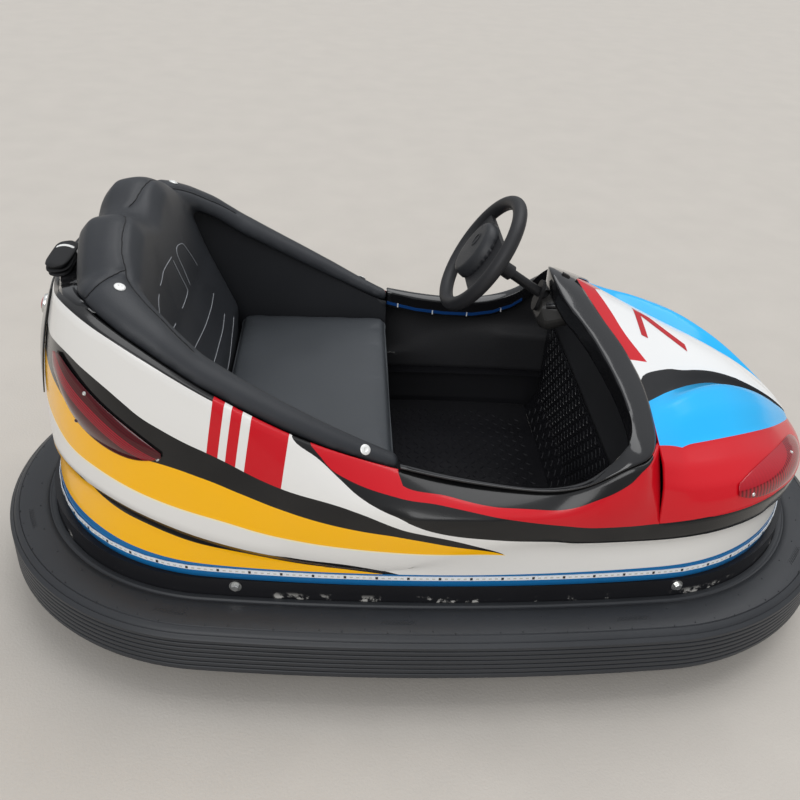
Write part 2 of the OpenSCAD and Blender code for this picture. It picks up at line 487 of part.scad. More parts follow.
// Padded lining of the tub's side, up to the underside of the arm pad
function lining(t, d) = let (o = pad_out(t) + curve(t, PAD, 3) - 21 - d, z = pad_z(t) - 12 - seat)
    [hull_at(t, o, seat_z - 90), hull_at(t, o, mix(seat_z, z, 0.5)), hull_at(t, o, z)];
module side_panel(s) color("#2b2d31") scale([1, s, 1])
    skin([for (i = [0 : 9]) lining(PAD_T[i], 0)], [for (i = [0 : 9]) lining(PAD_T[i], 8)]);

// Lamps on the curved shell: t, lower z, upper z
TAIL = [[131, 536, 547], [135, 517, 580], [142, 524, 627], [148.5, 557, 670], [153, 610, 684], [154.5, 640, 662]];
function tail_grid(d) = [for (t = [131, 133, 136, 139, 142, 145, 148, 151, 154]) let (a = curve(t, TAIL, 1), b = curve(t, TAIL, 2))
    [for (i = [0 : 4]) let (z = mix(a, b, i / 4), w = (z - shell_z(t, 4)) / (shell_z(t, 6) - shell_z(t, 4)))
        upper(t, w, d == 0 ? 0.9 : 1.9 + d * sin(i * 45) * min(1, min(t - 130.5, 154.5 - t) / 6))]];
module tail_lamp(s) color("#5a0d14") scale([1, s, 1]) skin(tail_grid(12), tail_grid(0));
// t, and the share of the bonnet's shoulder at its lower and upper edge
HEAD_T = [[18, 0.5, 0.34], [22, 0.76, 0.2], [26, 0.88, 0.22], [34, 0.93, 0.32], [41, 0.91, 0.48], [44.5, 0.8, 0.64]];
function head_base() = [for (t = [44.5, 42, 38, 34, 30, 26, 22, 20, 18]) let (a = curve(t, HEAD_T, 1), b = curve(t, HEAD_T, 2))
    [for (i = [0 : 4]) shoulder(t, mix(b, a, i / 4))]];
module headlamp(s) color("#a01525") scale([1, s, 1]) let (G = head_base())
    skin([for (c = [0 : len(G) - 1]) [for (r = [0 : 4]) G[c][r] + (2 + 10 * sin(r * 45) * sin(c * 22.5)) * normal_at(G, c, r)]],
        shifted(G, 1.2));

PANEL_T = [165, 170, 175, 180, 185, 190, 195];
function panel_grid(d) = [for (t = PANEL_T) [for (i = [0 : 4])
    upper(t > 180 ? t - 360 : t, 0.08 + 0.21 * i, 0.8 + d * (3 + 9 * sin(i * 45) * min(1, (15 - abs(t - 180)) / 6)))]];
module rear_panel() color("#111214") skin(panel_grid(1), panel_grid(0));
module rear_lamp() color("#b0101c") let (p = upper(180, 0.56, 13.5)) translate(p) rotate([0, -78, 0]) {
    cylinder(r = 22, h = 10);
    cylinder(r = 16, h = 14);
}
module skirt_light_strip() color("aliceblue")
    skin([for (t = RING) [hull_at(t, 4, 256), hull_at(t, 4, 266)]], [for (t = RING) [hull_at(t, 2.4, 256), hull_at(t, 2.4, 266)]], true);
STRIP = [for (i = [10 : len(SURROUND_HALF) - 1]) let (p = SURROUND_HALF[i][2] - [0, 1.5 + seat, 0]) [p - [0, 0, 22], p - [0, 0, 30]]];
module cockpit_light_strip(s) color("royalblue") scale([1, s, 1])
    skin(STRIP, [for (c = STRIP) [for (p = c) p + [0, 1.5, 0]]]);
module accelerator_pedal() color("gray") translate([300, -200, floor_z + seat]) rotate([0, -60, 0]) cube([120, 70, 5]);
module strap_bundle() color("#121214") translate([-770, -85, 757.7]) hull() {
    translate([12, -45, 0]) cylinder(r = 19, h = 26, $fn = 32);
    translate([-8, 40, 0]) cylinder(r = 23, h = 36, $fn = 32);
}

module piece(name) {
    if (name == "bumper_tyre") bumper_tyre();
    if (name == "bumper_rim") bumper_rim();
    if (name == "frame_rails") frame_rails();
    if (name == "frame_cross_tubes") frame_cross_tubes();
    if (name == "floor_plate") floor_plate();
    if (name == "toe_board") toe_board();
    if (name == "body_shell") body_shell();
    if (name == "bonnet") bonnet();
    if (name == "cockpit_surround") cockpit_surround();
    if (name == "dash_pod") dash_pod();
    if (name == "column_escutcheon") column_escutcheon();
    if (name == "steering_shaft") steering_shaft();
    if (name == "steering_wheel") steering_wheel();
    if (name == "wheel_hub_pad") wheel_hub_pad();
    if (name == "shaft_yoke") shaft_yoke();
    if (name == "swivel_yoke") swivel_yoke();
    if (name == "drive_bridge") drive_bridge();
    if (name == "drive_fork") drive_fork();
    if (name == "drive_motor") drive_motor();
    if (name == "drive_wheel_tyre") drive_wheel_tyre();
    if (name == "drive_wheel_hub") drive_wheel_hub();
    if (name == "rear_axle") rear_axle();
    if (name == "rear_wheel_tyre_left") rear_wheel_tyre(left);
    if (name == "rear_wheel_tyre_right") rear_wheel_tyre(right);
    if (name == "rear_wheel_hub_left") rear_wheel_hub(left);
    if (name == "rear_wheel_hub_right") rear_wheel_hub(right);
    if (name == "battery_block") battery_block();
    if (name == "seat_base") seat_base();
    if (name == "seat_cushion") seat_cushion();
    if (name == "backrest") backrest();
    if (name == "arm_pad_left") arm_pad(left);
    if (name == "arm_pad_right") arm_pad(right);
    if (name == "side_panel_left") side_panel(left);
    if (name == "side_panel_right") side_panel(right);
    if (name == "headlamp_left") headlamp(left);
    if (name == "headlamp_right") headlamp(right);
    if (name == "tail_lamp_left") tail_lamp(left);
    if (name == "tail_lamp_right") tail_lamp(right);
    if (name == "rear_panel") rear_panel();
    if (name == "rear_lamp") rear_lamp();
    if (name == "skirt_light_strip") skirt_light_strip();
    if (name == "cockpit_light_strip_left") cockpit_light_strip(left);
    if (name == "cockpit_light_strip_right") cockpit_light_strip(right);
    if (name == "accelerator_pedal") accelerator_pedal();
    if (name == "strap_bundle") strap_bundle();
}
for (name = NODES) piece(name);
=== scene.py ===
import math

import bmesh
import bpy
import numpy as np
from mathutils import Matrix, Vector
from mathutils.bvhtree import BVHTree


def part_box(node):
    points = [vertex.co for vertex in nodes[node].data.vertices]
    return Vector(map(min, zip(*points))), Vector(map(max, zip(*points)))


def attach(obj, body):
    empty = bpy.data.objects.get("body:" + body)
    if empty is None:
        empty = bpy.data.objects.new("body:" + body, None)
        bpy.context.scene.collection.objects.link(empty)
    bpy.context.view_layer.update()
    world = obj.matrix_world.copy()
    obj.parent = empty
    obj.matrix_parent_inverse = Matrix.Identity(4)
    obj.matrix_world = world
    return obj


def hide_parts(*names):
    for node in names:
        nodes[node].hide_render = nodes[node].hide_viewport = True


# Studio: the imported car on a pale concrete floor, under a soft overcast light. The camera stands
# at the car's right side, a little behind its middle and above its seat, and looks down at it.
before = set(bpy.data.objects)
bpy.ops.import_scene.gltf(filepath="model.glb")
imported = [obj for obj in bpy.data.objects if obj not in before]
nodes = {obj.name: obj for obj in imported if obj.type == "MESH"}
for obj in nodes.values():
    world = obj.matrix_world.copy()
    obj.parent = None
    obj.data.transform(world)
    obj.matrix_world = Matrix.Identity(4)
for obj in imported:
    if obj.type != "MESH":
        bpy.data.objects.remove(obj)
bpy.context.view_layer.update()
scene = bpy.context.scene
scene.view_settings.view_transform = "Standard"


def added(tree, kind, **values):
    """A new node of a material or of the world, with its named inputs set."""
    node = tree.nodes.new("ShaderNode" + kind)
    for socket, value in values.items():
        node.inputs[socket.replace("_", " ")].default_value = value
    return node


def wired(tree, *pairs):
    for output, socket in pairs:
        tree.links.new(output, socket)


def worked(tree, kind, *values):
    """A sum in a material, from numbers and from other nodes' outputs."""
    node = added(tree, "Math")
    node.operation = kind
    for socket, value in zip(node.inputs, values):
        if isinstance(value, (int, float)):
            socket.default_value = value
        else:
            tree.links.new(value, socket)
    return node.outputs[0]


def painted(tree, under, colour, share):
    """A colour laid over another one, as thickly as share says."""
    node = added(tree, "Mix")
    node.data_type = "RGBA"
    for socket, value in (("A", under), ("B", colour)):
        if isinstance(value, tuple):
            node.inputs[socket].default_value = (*value, 1)
        else:
            tree.links.new(value, node.inputs[socket])
    tree.links.new(share, node.inputs["Factor"])
    return node.outputs["Result"]


def finish(name, colour, rough, grain, depth, drift=0.12, metal=0.0, coat=0.0):
    """A finish with a drifting colour, an uneven gloss and a fine grain, whose scale is grain
    and whose depth is in metres."""
    made = bpy.data.materials.new(name)
    made.use_nodes = True
    tree = made.node_tree
    shader = tree.nodes["Principled BSDF"]
    for socket, value in (("Metallic", metal), ("Coat Weight", coat), ("Coat Roughness", 0.04),
                          ("Specular IOR Level", 0.3)):
        shader.inputs[socket].default_value = value
    place = added(tree, "TexCoord").outputs["Object"]
    cloud = added(tree, "TexNoise", Scale=5.0, Detail=6.0)
    fine = added(tree, "TexNoise", Scale=grain, Detail=3.0)
    gloss = added(tree, "MapRange", To_Min=rough * 0.8, To_Max=min(1.0, rough * 1.2))
    bump = added(tree, "Bump", Strength=0.6, Distance=depth)
    darker = tuple(c * (1 - drift) for c in colour)
    paler = tuple(min(1, c * (1 + drift)) for c in colour)
    wired(tree, (place, cloud.inputs["Vector"]), (place, fine.inputs["Vector"]),
          (painted(tree, darker, paler, cloud.outputs["Fac"]), shader.inputs["Base Color"]),
          (cloud.outputs["Fac"], gloss.inputs["Value"]),
          (gloss.outputs["Result"], shader.inputs["Roughness"]),
          (fine.outputs["Fac"], bump.inputs["Height"]), (bump.outputs["Normal"], shader.inputs["Normal"]))
    return made


def coated(thing, *finishes):
    thing.data.materials.clear()
    for made in finishes:
        thing.data.materials.append(made)


def put_in(name, data):
    """A new object in the scene."""
    thing = bpy.data.objects.new(name, data)
    scene.collection.objects.link(thing)
    return thing


def mesh_thing(name, points, faces):
    mesh = bpy.data.meshes.new(name)
    mesh.from_pydata([tuple(p) for p in points], [], [tuple(f) for f in faces])
    return put_in(name, mesh)


floor_half, floor_top = 30.0, -0.0005
floor_corners = [(x * floor_half, y * floor_half, floor_top) for x, y in ((-1, -1), (1, -1), (1, 1), (-1, 1))]
studio_floor = mesh_thing("studio_floor", floor_corners, [(0, 1, 2, 3)])
coated(studio_floor, finish("pale_concrete", (0.52, 0.485, 0.44), 0.85, 160.0, 0.0012, drift=0.07))

yaw, pitch, roll = -0.0755, 0.5598, 0.0585
ahead = Vector((-math.sin(yaw) * math.cos(pitch), math.cos(yaw) * math.cos(pitch), -math.sin(pitch)))
level = ahead.cross(Vector((0, 0, 1))).normalized()
upright = level.cross(ahead)
right = level * math.cos(roll) + upright * math.sin(roll)
up = -level * math.sin(roll) + upright * math.cos(roll)
camera = put_in("camera", bpy.data.cameras.new("camera"))
camera.data.lens, camera.data.sensor_width = 40.59, 36.0
camera.data.clip_start, camera.data.clip_end = 0.02, 200.0
camera.matrix_world = Matrix((right, up, -ahead)).transposed().to_4x4()
camera.location = (-0.2007, -1.7932, 1.5279)
scene.camera = camera


def soft_sky(name, comes_from, strength, spread):
    """Even light from a wide patch of sky, spread degrees across."""
    lamp = put_in(name, bpy.data.lights.new(name, "SUN"))
    lamp.data.energy, lamp.data.angle = strength, math.radians(spread)
    lamp.rotation_mode = "QUATERNION"
    lamp.rotation_quaternion = Vector(comes_from).to_track_quat("Z", "Y")


soft_sky("overcast_sky", (0.25, 0.3, 1.0), 1.35, 50.0)
soft_sky("open_side", (-0.3, -1.0, 0.75), 1.1, 35.0)

# The world lights the car evenly. Gloss and glass see it darker at the horizon than overhead.
world = bpy.data.worlds.new("studio")
scene.world = world
world.use_nodes = True
sky = world.node_tree
ray = added(sky, "LightPath").outputs
heaven = added(sky, "SeparateXYZ")
glow = added(sky, "MapRange", To_Min=0.28, To_Max=0.95)
backdrop = worked(sky, "MULTIPLY", ray["Is Camera Ray"], 0.82)
seen = worked(sky, "MAXIMUM", ray["Is Camera Ray"], ray["Is Glossy Ray"])
strength = added(sky, "MapRange", To_Min=0.60)
wired(sky, (added(sky, "TexCoord").outputs["Generated"], heaven.inputs[0]),
      (heaven.outputs["Z"], glow.inputs["Value"]),
      (worked(sky, "MAXIMUM", backdrop, glow.outputs["Result"]), strength.inputs["To Max"]),
      (worked(sky, "MAXIMUM", seen, ray["Is Transmission Ray"]), strength.inputs["Value"]),
      (strength.outputs["Result"], sky.nodes["Background"].inputs["Strength"]))
sky.nodes["Background"].inputs["Color"].default_value = (0.93, 0.96, 1.0, 1)

# Frame: square steel tubes and a bent rim, welded and painted black. Only the rim shows, over
# the tyre's bead, where the sealant that the tyre was pushed on with has left pale scuffs.
black_steel = finish("black_painted_steel", (0.014, 0.014, 0.016), 0.36, 420.0, 0.0004, drift=0.3)
for name in ("frame_rails", "frame_cross_tubes", "drive_bridge", "drive_fork"):
    coated(nodes[name], black_steel)


def laid_over(made, colour, share):
    """Paints a colour over the finish's own, as thickly as share says."""
    base = made.node_tree.nodes["Principled BSDF"].inputs["Base Color"]
    wired(made.node_tree, (painted(made.node_tree, base.links[0].from_socket, colour, share), base))


def scuffed(made, pale, low, high, patches, amount):
    """Pale scuffs over a finish between two heights, on the side that faces outwards."""
    tree = made.node_tree
    place = added(tree, "TexCoord").outputs["Object"]
    split = added(tree, "SeparateXYZ")
    outer = added(tree, "VectorMath")
    outer.operation = "DOT_PRODUCT"
    band = added(tree, "MapRange", From_Min=high, From_Max=low)
    scratch = added(tree, "TexNoise", Scale=patches, Detail=9.0, Roughness=0.7)
    torn = added(tree, "MapRange", From_Min=0.585, From_Max=0.63)
    wired(tree, (place, split.inputs[0]), (split.outputs["Z"], band.inputs["Value"]),
          (place, scratch.inputs["Vector"]), (scratch.outputs["Fac"], torn.inputs["Value"]),
          (added(tree, "NewGeometry").outputs["Normal"], outer.inputs[0]), (place, outer.inputs[1]))
    outside = worked(tree, "GREATER_THAN", outer.outputs["Value"], 0.05)
    in_band = worked(tree, "MULTIPLY", outside, band.outputs["Result"])
    scuffs = worked(tree, "MULTIPLY", in_band, torn.outputs["Result"])
    laid_over(made, pale, worked(tree, "MULTIPLY", scuffs, amount))
    return made


rim_paint = finish("rim_paint", (0.012, 0.012, 0.014), 0.3, 420.0, 0.0004, drift=0.3)
coated(nodes["bumper_rim"], scuffed(rim_paint, (0.62, 0.6, 0.56), 0.198, 0.212, 22.0, 0.75))

# Chequer plate: the footwell's floor and toe board, black painted steel with raised bars that
# stand in pairs, one way and then the other. They are rolled into the plate.
plate_paint = finish("chequer_plate_paint", (0.012, 0.012, 0.014), 0.22, 300.0, 0.0003, drift=0.35)
coated(nodes["floor_plate"], plate_paint)
coated(nodes["toe_board"], plate_paint)


def settled(thing):
    """The thing with its modifiers worked into its mesh."""
    graph = bpy.context.evaluated_depsgraph_get()
    mesh = bpy.data.meshes.new_from_object(thing.evaluated_get(graph))
    thing.modifiers.clear()
    thing.data = mesh
    return thing


def repeat_tree():
    """Sets a fitting on each point, its Z along the point's facing and its X along its run."""
    tree = bpy.data.node_groups.new("fitting_on_each_point", "GeometryNodeTree")
    for name, way, kind in (("Geometry", "INPUT", "Geometry"), ("Fitting", "INPUT", "Object"),
                            ("Finish", "INPUT", "Material"), ("Size", "INPUT", "Float"),
                            ("Geometry", "OUTPUT", "Geometry")):
        tree.interface.new_socket(name, in_out=way, socket_type="NodeSocket" + kind)
    start, end = tree.nodes.new("NodeGroupInput"), tree.nodes.new("NodeGroupOutput")
    fitting, put, real, dress = [tree.nodes.new("GeometryNode" + kind) for kind in (
        "ObjectInfo", "InstanceOnPoints", "RealizeInstances", "SetMaterial")]
    facing, run = [tree.nodes.new("GeometryNodeInputNamedAttribute") for _ in range(2)]
    for read, name in ((facing, "facing"), (run, "run")):
        read.data_type = "FLOAT_VECTOR"
        read.inputs["Name"].default_value = name
    stand, turn = [tree.nodes.new("FunctionNodeAlignEulerToVector") for _ in range(2)]
    stand.axis, turn.axis, turn.pivot_axis = "Z", "X", "Z"
    wired(tree, (start.outputs["Geometry"], put.inputs["Points"]),
          (start.outputs["Fitting"], fitting.inputs["Object"]),
          (fitting.outputs["Geometry"], put.inputs["Instance"]), (start.outputs["Size"], put.inputs["Scale"]),
          (facing.outputs["Attribute"], stand.inputs["Vector"]),
          (stand.outputs["Rotation"], turn.inputs["Rotation"]),
          (run.outputs["Attribute"], turn.inputs["Vector"]),
          (turn.outputs["Rotation"], put.inputs["Rotation"]),
          (put.outputs["Instances"], real.inputs["Geometry"]),
          (real.outputs["Geometry"], dress.inputs["Geometry"]),
          (start.outputs["Finish"], dress.inputs["Material"]),
          (dress.outputs["Geometry"], end.inputs["Geometry"]))
    return tree


on_each_point = repeat_tree()


def fittings(name, spots, shape, made_of, body, size=1.0):
    """One piece of many small fittings. A spot is its place, its facing and its run."""
    thing = mesh_thing(name, [spot[0] for spot in spots], [])
    for attribute, column in (("facing", 1), ("run", 2)):
        values = thing.data.attributes.new(attribute, "FLOAT_VECTOR", "POINT")
        rows = np.array([tuple(spot[column]) for spot in spots], np.float32)
        values.data.foreach_set("vector", rows.ravel())
    model = mesh_thing(name + "_shape", *shape)
    repeat = thing.modifiers.new("repeat", "NODES")
    repeat.node_group = on_each_point
    inputs = {"Fitting": model, "Finish": made_of, "Size": size}
    for socket in on_each_point.interface.items_tree:
        if socket.in_out == "INPUT" and socket.name in inputs:
            repeat[socket.identifier] = inputs[socket.name]
    settled(thing)
    for attribute in ("facing", "run"):
        if attribute in thing.data.attributes:
            thing.data.attributes.remove(thing.data.attributes[attribute])
    bpy.data.objects.remove(model)
    coated(thing, made_of)
    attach(thing, body)
    return thing


def woven(rows, columns, first=0, ring_rows=False, ring_columns=False):
    """Faces over a grid of points that are laid row by row from the first. A ring closes on itself."""
    return [(first + i * columns + j, first + i * columns + (j + 1) % columns,
             first + (i + 1) % rows * columns + (j + 1) % columns, first + (i + 1) % rows * columns + j)
            for i in range(rows if ring_rows else rows - 1)
            for j in range(columns if ring_columns else columns - 1)]


def lid_on(first, count):
    return tuple(range(first, first + count))


def bar(length, width, height, pointed=0.35):
    """A low raised bar with pointed ends and sloping sides."""
    a, b = length / 2, width / 2
    foot = [(-a, 0), (-a * pointed, -b), (a * pointed, -b), (a, 0), (a * pointed, b), (-a * pointed, b)]
    points = [(x, y, 0) for x, y in foot] + [(x * 0.82, y * 0.45, height) for x, y in foot]
    return points, woven(2, 6, ring_columns=True) + [lid_on(6, 6), lid_on(0, 6)[::-1]]


bar_pitch, bar_length, bar_width, bar_sink = 0.021, 0.019, 0.0055, 0.0002
footwell_half, footwell_end_x = 0.392, 0.1
plate_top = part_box("floor_plate")[1].z
plate_spots = []
for i in range(-3, 15):
    for j in range(-18, 19):
        x, y = i * bar_pitch, j * bar_pitch
        if math.hypot(max(0.0, x - footwell_end_x), y) < footwell_half:
            slant = (1, 1, 0) if (i + j) % 2 else (1, -1, 0)
            plate_spots.append(((x, y, plate_top - bar_sink), (0, 0, 1), slant))
fittings("plate_bars", plate_spots, bar(bar_length, bar_width, 0.0016), plate_paint, "chassis")


# Toe board: the same plate, bent up from the floor towards the bonnet, so its bars lean with it.
# Each bar is laid on the plate's face, along one slant or the other.
def tree_of(thing):
    """A search tree over the thing's faces."""
    return BVHTree.FromPolygons([v.co.copy() for v in thing.data.vertices],
                                [tuple(f.vertices) for f in thing.data.polygons])


def face_met(tree, start, way):
    """Where a ray meets a piece, and the facing there, turned towards the ray's start."""
    hit, facing, _, _ = tree.ray_cast(Vector(start), Vector(way))
    if hit is not None and facing.dot(Vector(way)) > 0:
        facing = -facing
    return hit, facing


toe_foot, toe_head = 0.142, 0.414
toe_tree, toe_spots = tree_of(nodes["toe_board"]), []
for i in range(14):
    for j in range(-17, 18):
        hit, facing = face_met(toe_tree, (0.0, j * bar_pitch, toe_foot + i * bar_pitch * 0.98), (1, 0, 0))
        if hit is not None and hit.z < toe_head:
            toe_spots.append((hit - facing * bar_sink, facing, (0, 1, 1) if (i + j) % 2 else (0, 1, -1)))
toe_bar = bar(bar_length, bar_width, 0.0018)
fittings("toe_board_bars", toe_spots, toe_bar, plate_paint, "chassis")

# Bumper tyre: one thick ring of black rubber pushed on the rim. Its top is smooth and domed, with
# a raised bead, two fine lines at the shoulder and moulding nubs. Its tread has seven ribs.
rubber = finish("bumper_rubber", (0.032, 0.034, 0.038), 0.42, 900.0, 0.0003, drift=0.22)


def oval(half_l, half_w, end_r):
    """Points and stations of an oval of four arcs. A station is 0 at the nose and 180 at the tail."""
    side_r = ((half_l - end_r) ** 2 + half_w ** 2 - end_r ** 2) / (2 * (half_w - end_r))
    end_a = math.pi / 2 - math.atan((half_l - end_r) / (side_r - half_w))
    centre = half_l - end_r

    def at(t, out=0.0):
        u = abs(t) if abs(t) <= 90 else 180 - abs(t)
        if u <= 54:
            a = u / 54 * end_a
            x, y = centre + (end_r + out) * math.cos(a), (end_r + out) * math.sin(a)
        else:
            a = end_a + (u - 54) / 36 * (math.pi / 2 - end_a)
            x, y = (side_r + out) * math.cos(a), half_w - side_r + (side_r + out) * math.sin(a)
        return (x if abs(t) <= 90 else -x), math.copysign(y, t)

    def station(x, y):
        a = math.atan2(abs(y), abs(x) - centre)
        if a <= end_a:
            t = a / end_a * 54
        else:
            t = 54 + (math.atan2(abs(y) - half_w + side_r, abs(x)) - end_a) / (math.pi / 2 - end_a) * 36
        return t if x > 0 else 180 - t

    return at, station


rim_at, _ = oval(0.869, 0.451, 0.431)
tyre_foot, tyre_head, tyre_out, rib_count = 0.0755, 0.1955, 0.1055, 7
# Each row is how far out from the rim, and how far below the tyre's head.
tyre_top = [(0.0008, 0.001), (0.005, 0.0), (0.011, 0.0002), (0.014, 0.003), (0.017, 0.0034), (0.020, 0.0012),
            (0.030, 0.0004), (0.046, 0.0006), (0.062, 0.0018), (0.074, 0.004), (0.0815, 0.0062),
            (0.083, 0.0085), (0.0845, 0.0075), (0.090, 0.0105), (0.0948, 0.0142), (0.0962, 0.0172),
            (0.0978, 0.0165), (0.101, 0.0195)]
# Each row is how far out from the rim, and how far above the tyre's foot.
tyre_under = [(0.101, 0.008), (0.094, 0.001), (0.088, 0.0), (0.052, 0.0), (0.045, 0.004), (0.041, 0.0162),
              (0.0008, 0.0162)]
tread_top = tyre_head - 0.0215
rib = (tread_top - tyre_foot - 0.012) / rib_count
# Each row is how far inside the tread's face, and how far below the rib's top.
rib_form = [(0.0012, 0.0), (0.0, 0.0016), (0.0, rib - 0.0042), (0.0012, rib - 0.0028), (0.0045, rib - 0.0022),
            (0.0045, rib - 0.0004)]
tyre_section = [(out, tyre_head - below) for out, below in tyre_top]
for i in range(rib_count):
    tyre_section += [(tyre_out - inside, tread_top - i * rib - below) for inside, below in rib_form]
tyre_section += [(out, tyre_foot + above) for out, above in tyre_under]
half_round = [*np.linspace(0, 54, 61)[:-1], *np.linspace(54, 126, 61)[:-1], *np.linspace(126, 180, 61)]
tyre_stations = half_round + [-t for t in half_round[-2:0:-1]]


def smoothed(thing, sharp_over):
    """Shaded smooth, with corners over so many degrees kept sharp."""
    thing.data.shade_smooth()
    thing.data.set_sharp_from_angle(angle=math.radians(sharp_over))


def squared(thing, sharp_over=35.0, merge=0.0):
    """Points that meet merged, faces turned outwards, and the whole shaded smooth."""
    bm = bmesh.new()
    bm.from_mesh(thing.data)
    if merge:
        bmesh.ops.remove_doubles(bm, verts=bm.verts, dist=merge)
    bmesh.ops.recalc_face_normals(bm, faces=bm.faces)
    bm.to_mesh(thing.data)
    bm.free()
    smoothed(thing, sharp_over)


tyre_points = [(*rim_at(t, out), z) for t in tyre_stations for out, z in tyre_section]
tyre_faces = woven(len(tyre_stations), len(tyre_section), ring_rows=True, ring_columns=True)
tyre = mesh_thing("bumper_tyre_ribbed", tyre_points, tyre_faces)
squared(tyre)
coated(tyre, rubber)
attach(tyre, "chassis")
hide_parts("bumper_tyre")


def outward(at, t):
    a, b = Vector(at(t, 0.0)), Vector(at(t, 0.01))
    return Vector((*(b - a).normalized(), 0))


def circle(sides):
    """Even points on a circle of radius 1."""
    return [(math.cos(2 * math.pi * i / sides), math.sin(2 * math.pi * i / sides)) for i in range(sides)]


def rings(rows, sides):
    """Points of rings that stand over each other, from rows of radius and height."""
    return [(x * radius, y * radius, z) for radius, z in rows for x, y in circle(sides)]


def dome(radius, height, sides=8):
    """A low round head."""
    points = rings([(radius, 0), (radius * 0.92, height * 0.45), (radius * 0.6, height * 0.85)], sides)
    crown = [(2 * sides + i, 2 * sides + (i + 1) % sides, 3 * sides) for i in range(sides)]
    return points + [(0, 0, height)], woven(3, sides, ring_columns=True) + crown + [lid_on(0, sides)[::-1]]


nubs = []
for k, t in enumerate(np.arange(-178, 180, 3.35)):
    wander = math.sin(k * 2.4) * 0.004
    lean = outward(rim_at, t) * 0.1 + Vector((0, 0, 1))
    nubs.append(((*rim_at(t, 0.078 + wander), tyre_head - 0.0055), lean, (1, 0, 0)))
    if k % 2:
        nubs.append(((*rim_at(t, 0.04 - wander), tyre_head - 0.0008), (0, 0, 1), (1, 0, 0)))
fittings("tyre_nubs", nubs, dome(0.0016, 0.0022), rubber, "chassis")
hatches = []
for t in (40, 73, 108, 152, -24, -60, -96, -130, -165):
    run = (Vector((*rim_at(t + 1), 0)) - Vector((*rim_at(t), 0))).normalized()
    for k in range(-4, 5):
        for way in (1, -1):
            spot = (*rim_at(t + k * 0.55, 0.056), tyre_head - 0.0014)
            hatches.append((spot, (0, 0, 1), run + way * outward(rim_at, t) * 0.9))
fittings("tyre_hatch_marks", hatches, bar(0.02, 0.0011, 0.0006, 0.9), rubber, "chassis")

# Body shell: glass-fibre moulding in gloss paint. Its skirt, crease, side and rear deck are one
# piece. White over yellow, black, red and blue bands follow the shell, each up to its own line.
shell_at, shell_station = oval(0.850, 0.449, 0.4265)


def out_of_shell(x, y):
    """The way out of the shell's side at a place."""
    return outward(shell_at, math.copysign(shell_station(x, y), y))


def reworked(node, name, corner=30.0, hollow=75.0, levels=2, keep=0.9, mirrored=False):
    """A finer copy of a CAD piece: welded, its triangles paired, its outer corners kept crisp,
    and, where it is mirrored, its left side made from its right."""
    bm = bmesh.new()
    bm.from_mesh(nodes[node].data)
    bmesh.ops.remove_doubles(bm, verts=bm.verts, dist=2e-5)
    bmesh.ops.join_triangles(bm, faces=bm.faces[:], angle_face_threshold=0.8, angle_shape_threshold=1.2)
    if mirrored:
        whole = bm.verts[:] + bm.edges[:] + bm.faces[:]
        bmesh.ops.symmetrize(bm, input=whole, direction="-Y", dist=1e-5)
    crease = bm.edges.layers.float.get("crease_edge") or bm.edges.layers.float.new("crease_edge")
    for edge in bm.edges:
        if len(edge.link_faces) != 2:
            edge[crease] = 1.0
        elif edge.calc_face_angle() > math.radians(corner if edge.is_convex else hollow):
            edge[crease] = keep
    thing = put_in(name, bpy.data.meshes.new(name))
    bm.to_mesh(thing.data)
    bm.free()
    finer = thing.modifiers.new("finer", "SUBSURF")
    finer.levels = finer.render_levels = levels
    return thing


def faces_sorted(thing, choose):
    """Gives each face the finish that choose returns for its middle and its facing."""
    for face in thing.data.polygons:
        face.material_index = choose(face.center, face.normal)


def follow_shell(thing):
    """A map of the shell: how far round from nose to tail, and the height in metres."""
    chart = thing.data.uv_layers.new(name="station_and_height")
    where = [(shell_station(v.co.x, v.co.y) / 180, v.co.z) for v in thing.data.vertices]
    for loop in thing.data.loops:
        chart.data[loop.index].uv = where[loop.vertex_index]


def read_chart(tree):
    split, chart = added(tree, "SeparateXYZ"), added(tree, "UVMap")
    chart.uv_map = "station_and_height"
    wired(tree, (chart.outputs["UV"], split.inputs[0]))
    return split.outputs["X"], split.outputs["Y"]


white, yellow, red = (0.78, 0.765, 0.735), (1.0, 0.50, 0.0), (0.56, 0.002, 0.010)
black, blue, cream = (0.006, 0.006, 0.0065), (0.006, 0.14, 0.37), (0.92, 0.84, 0.52)
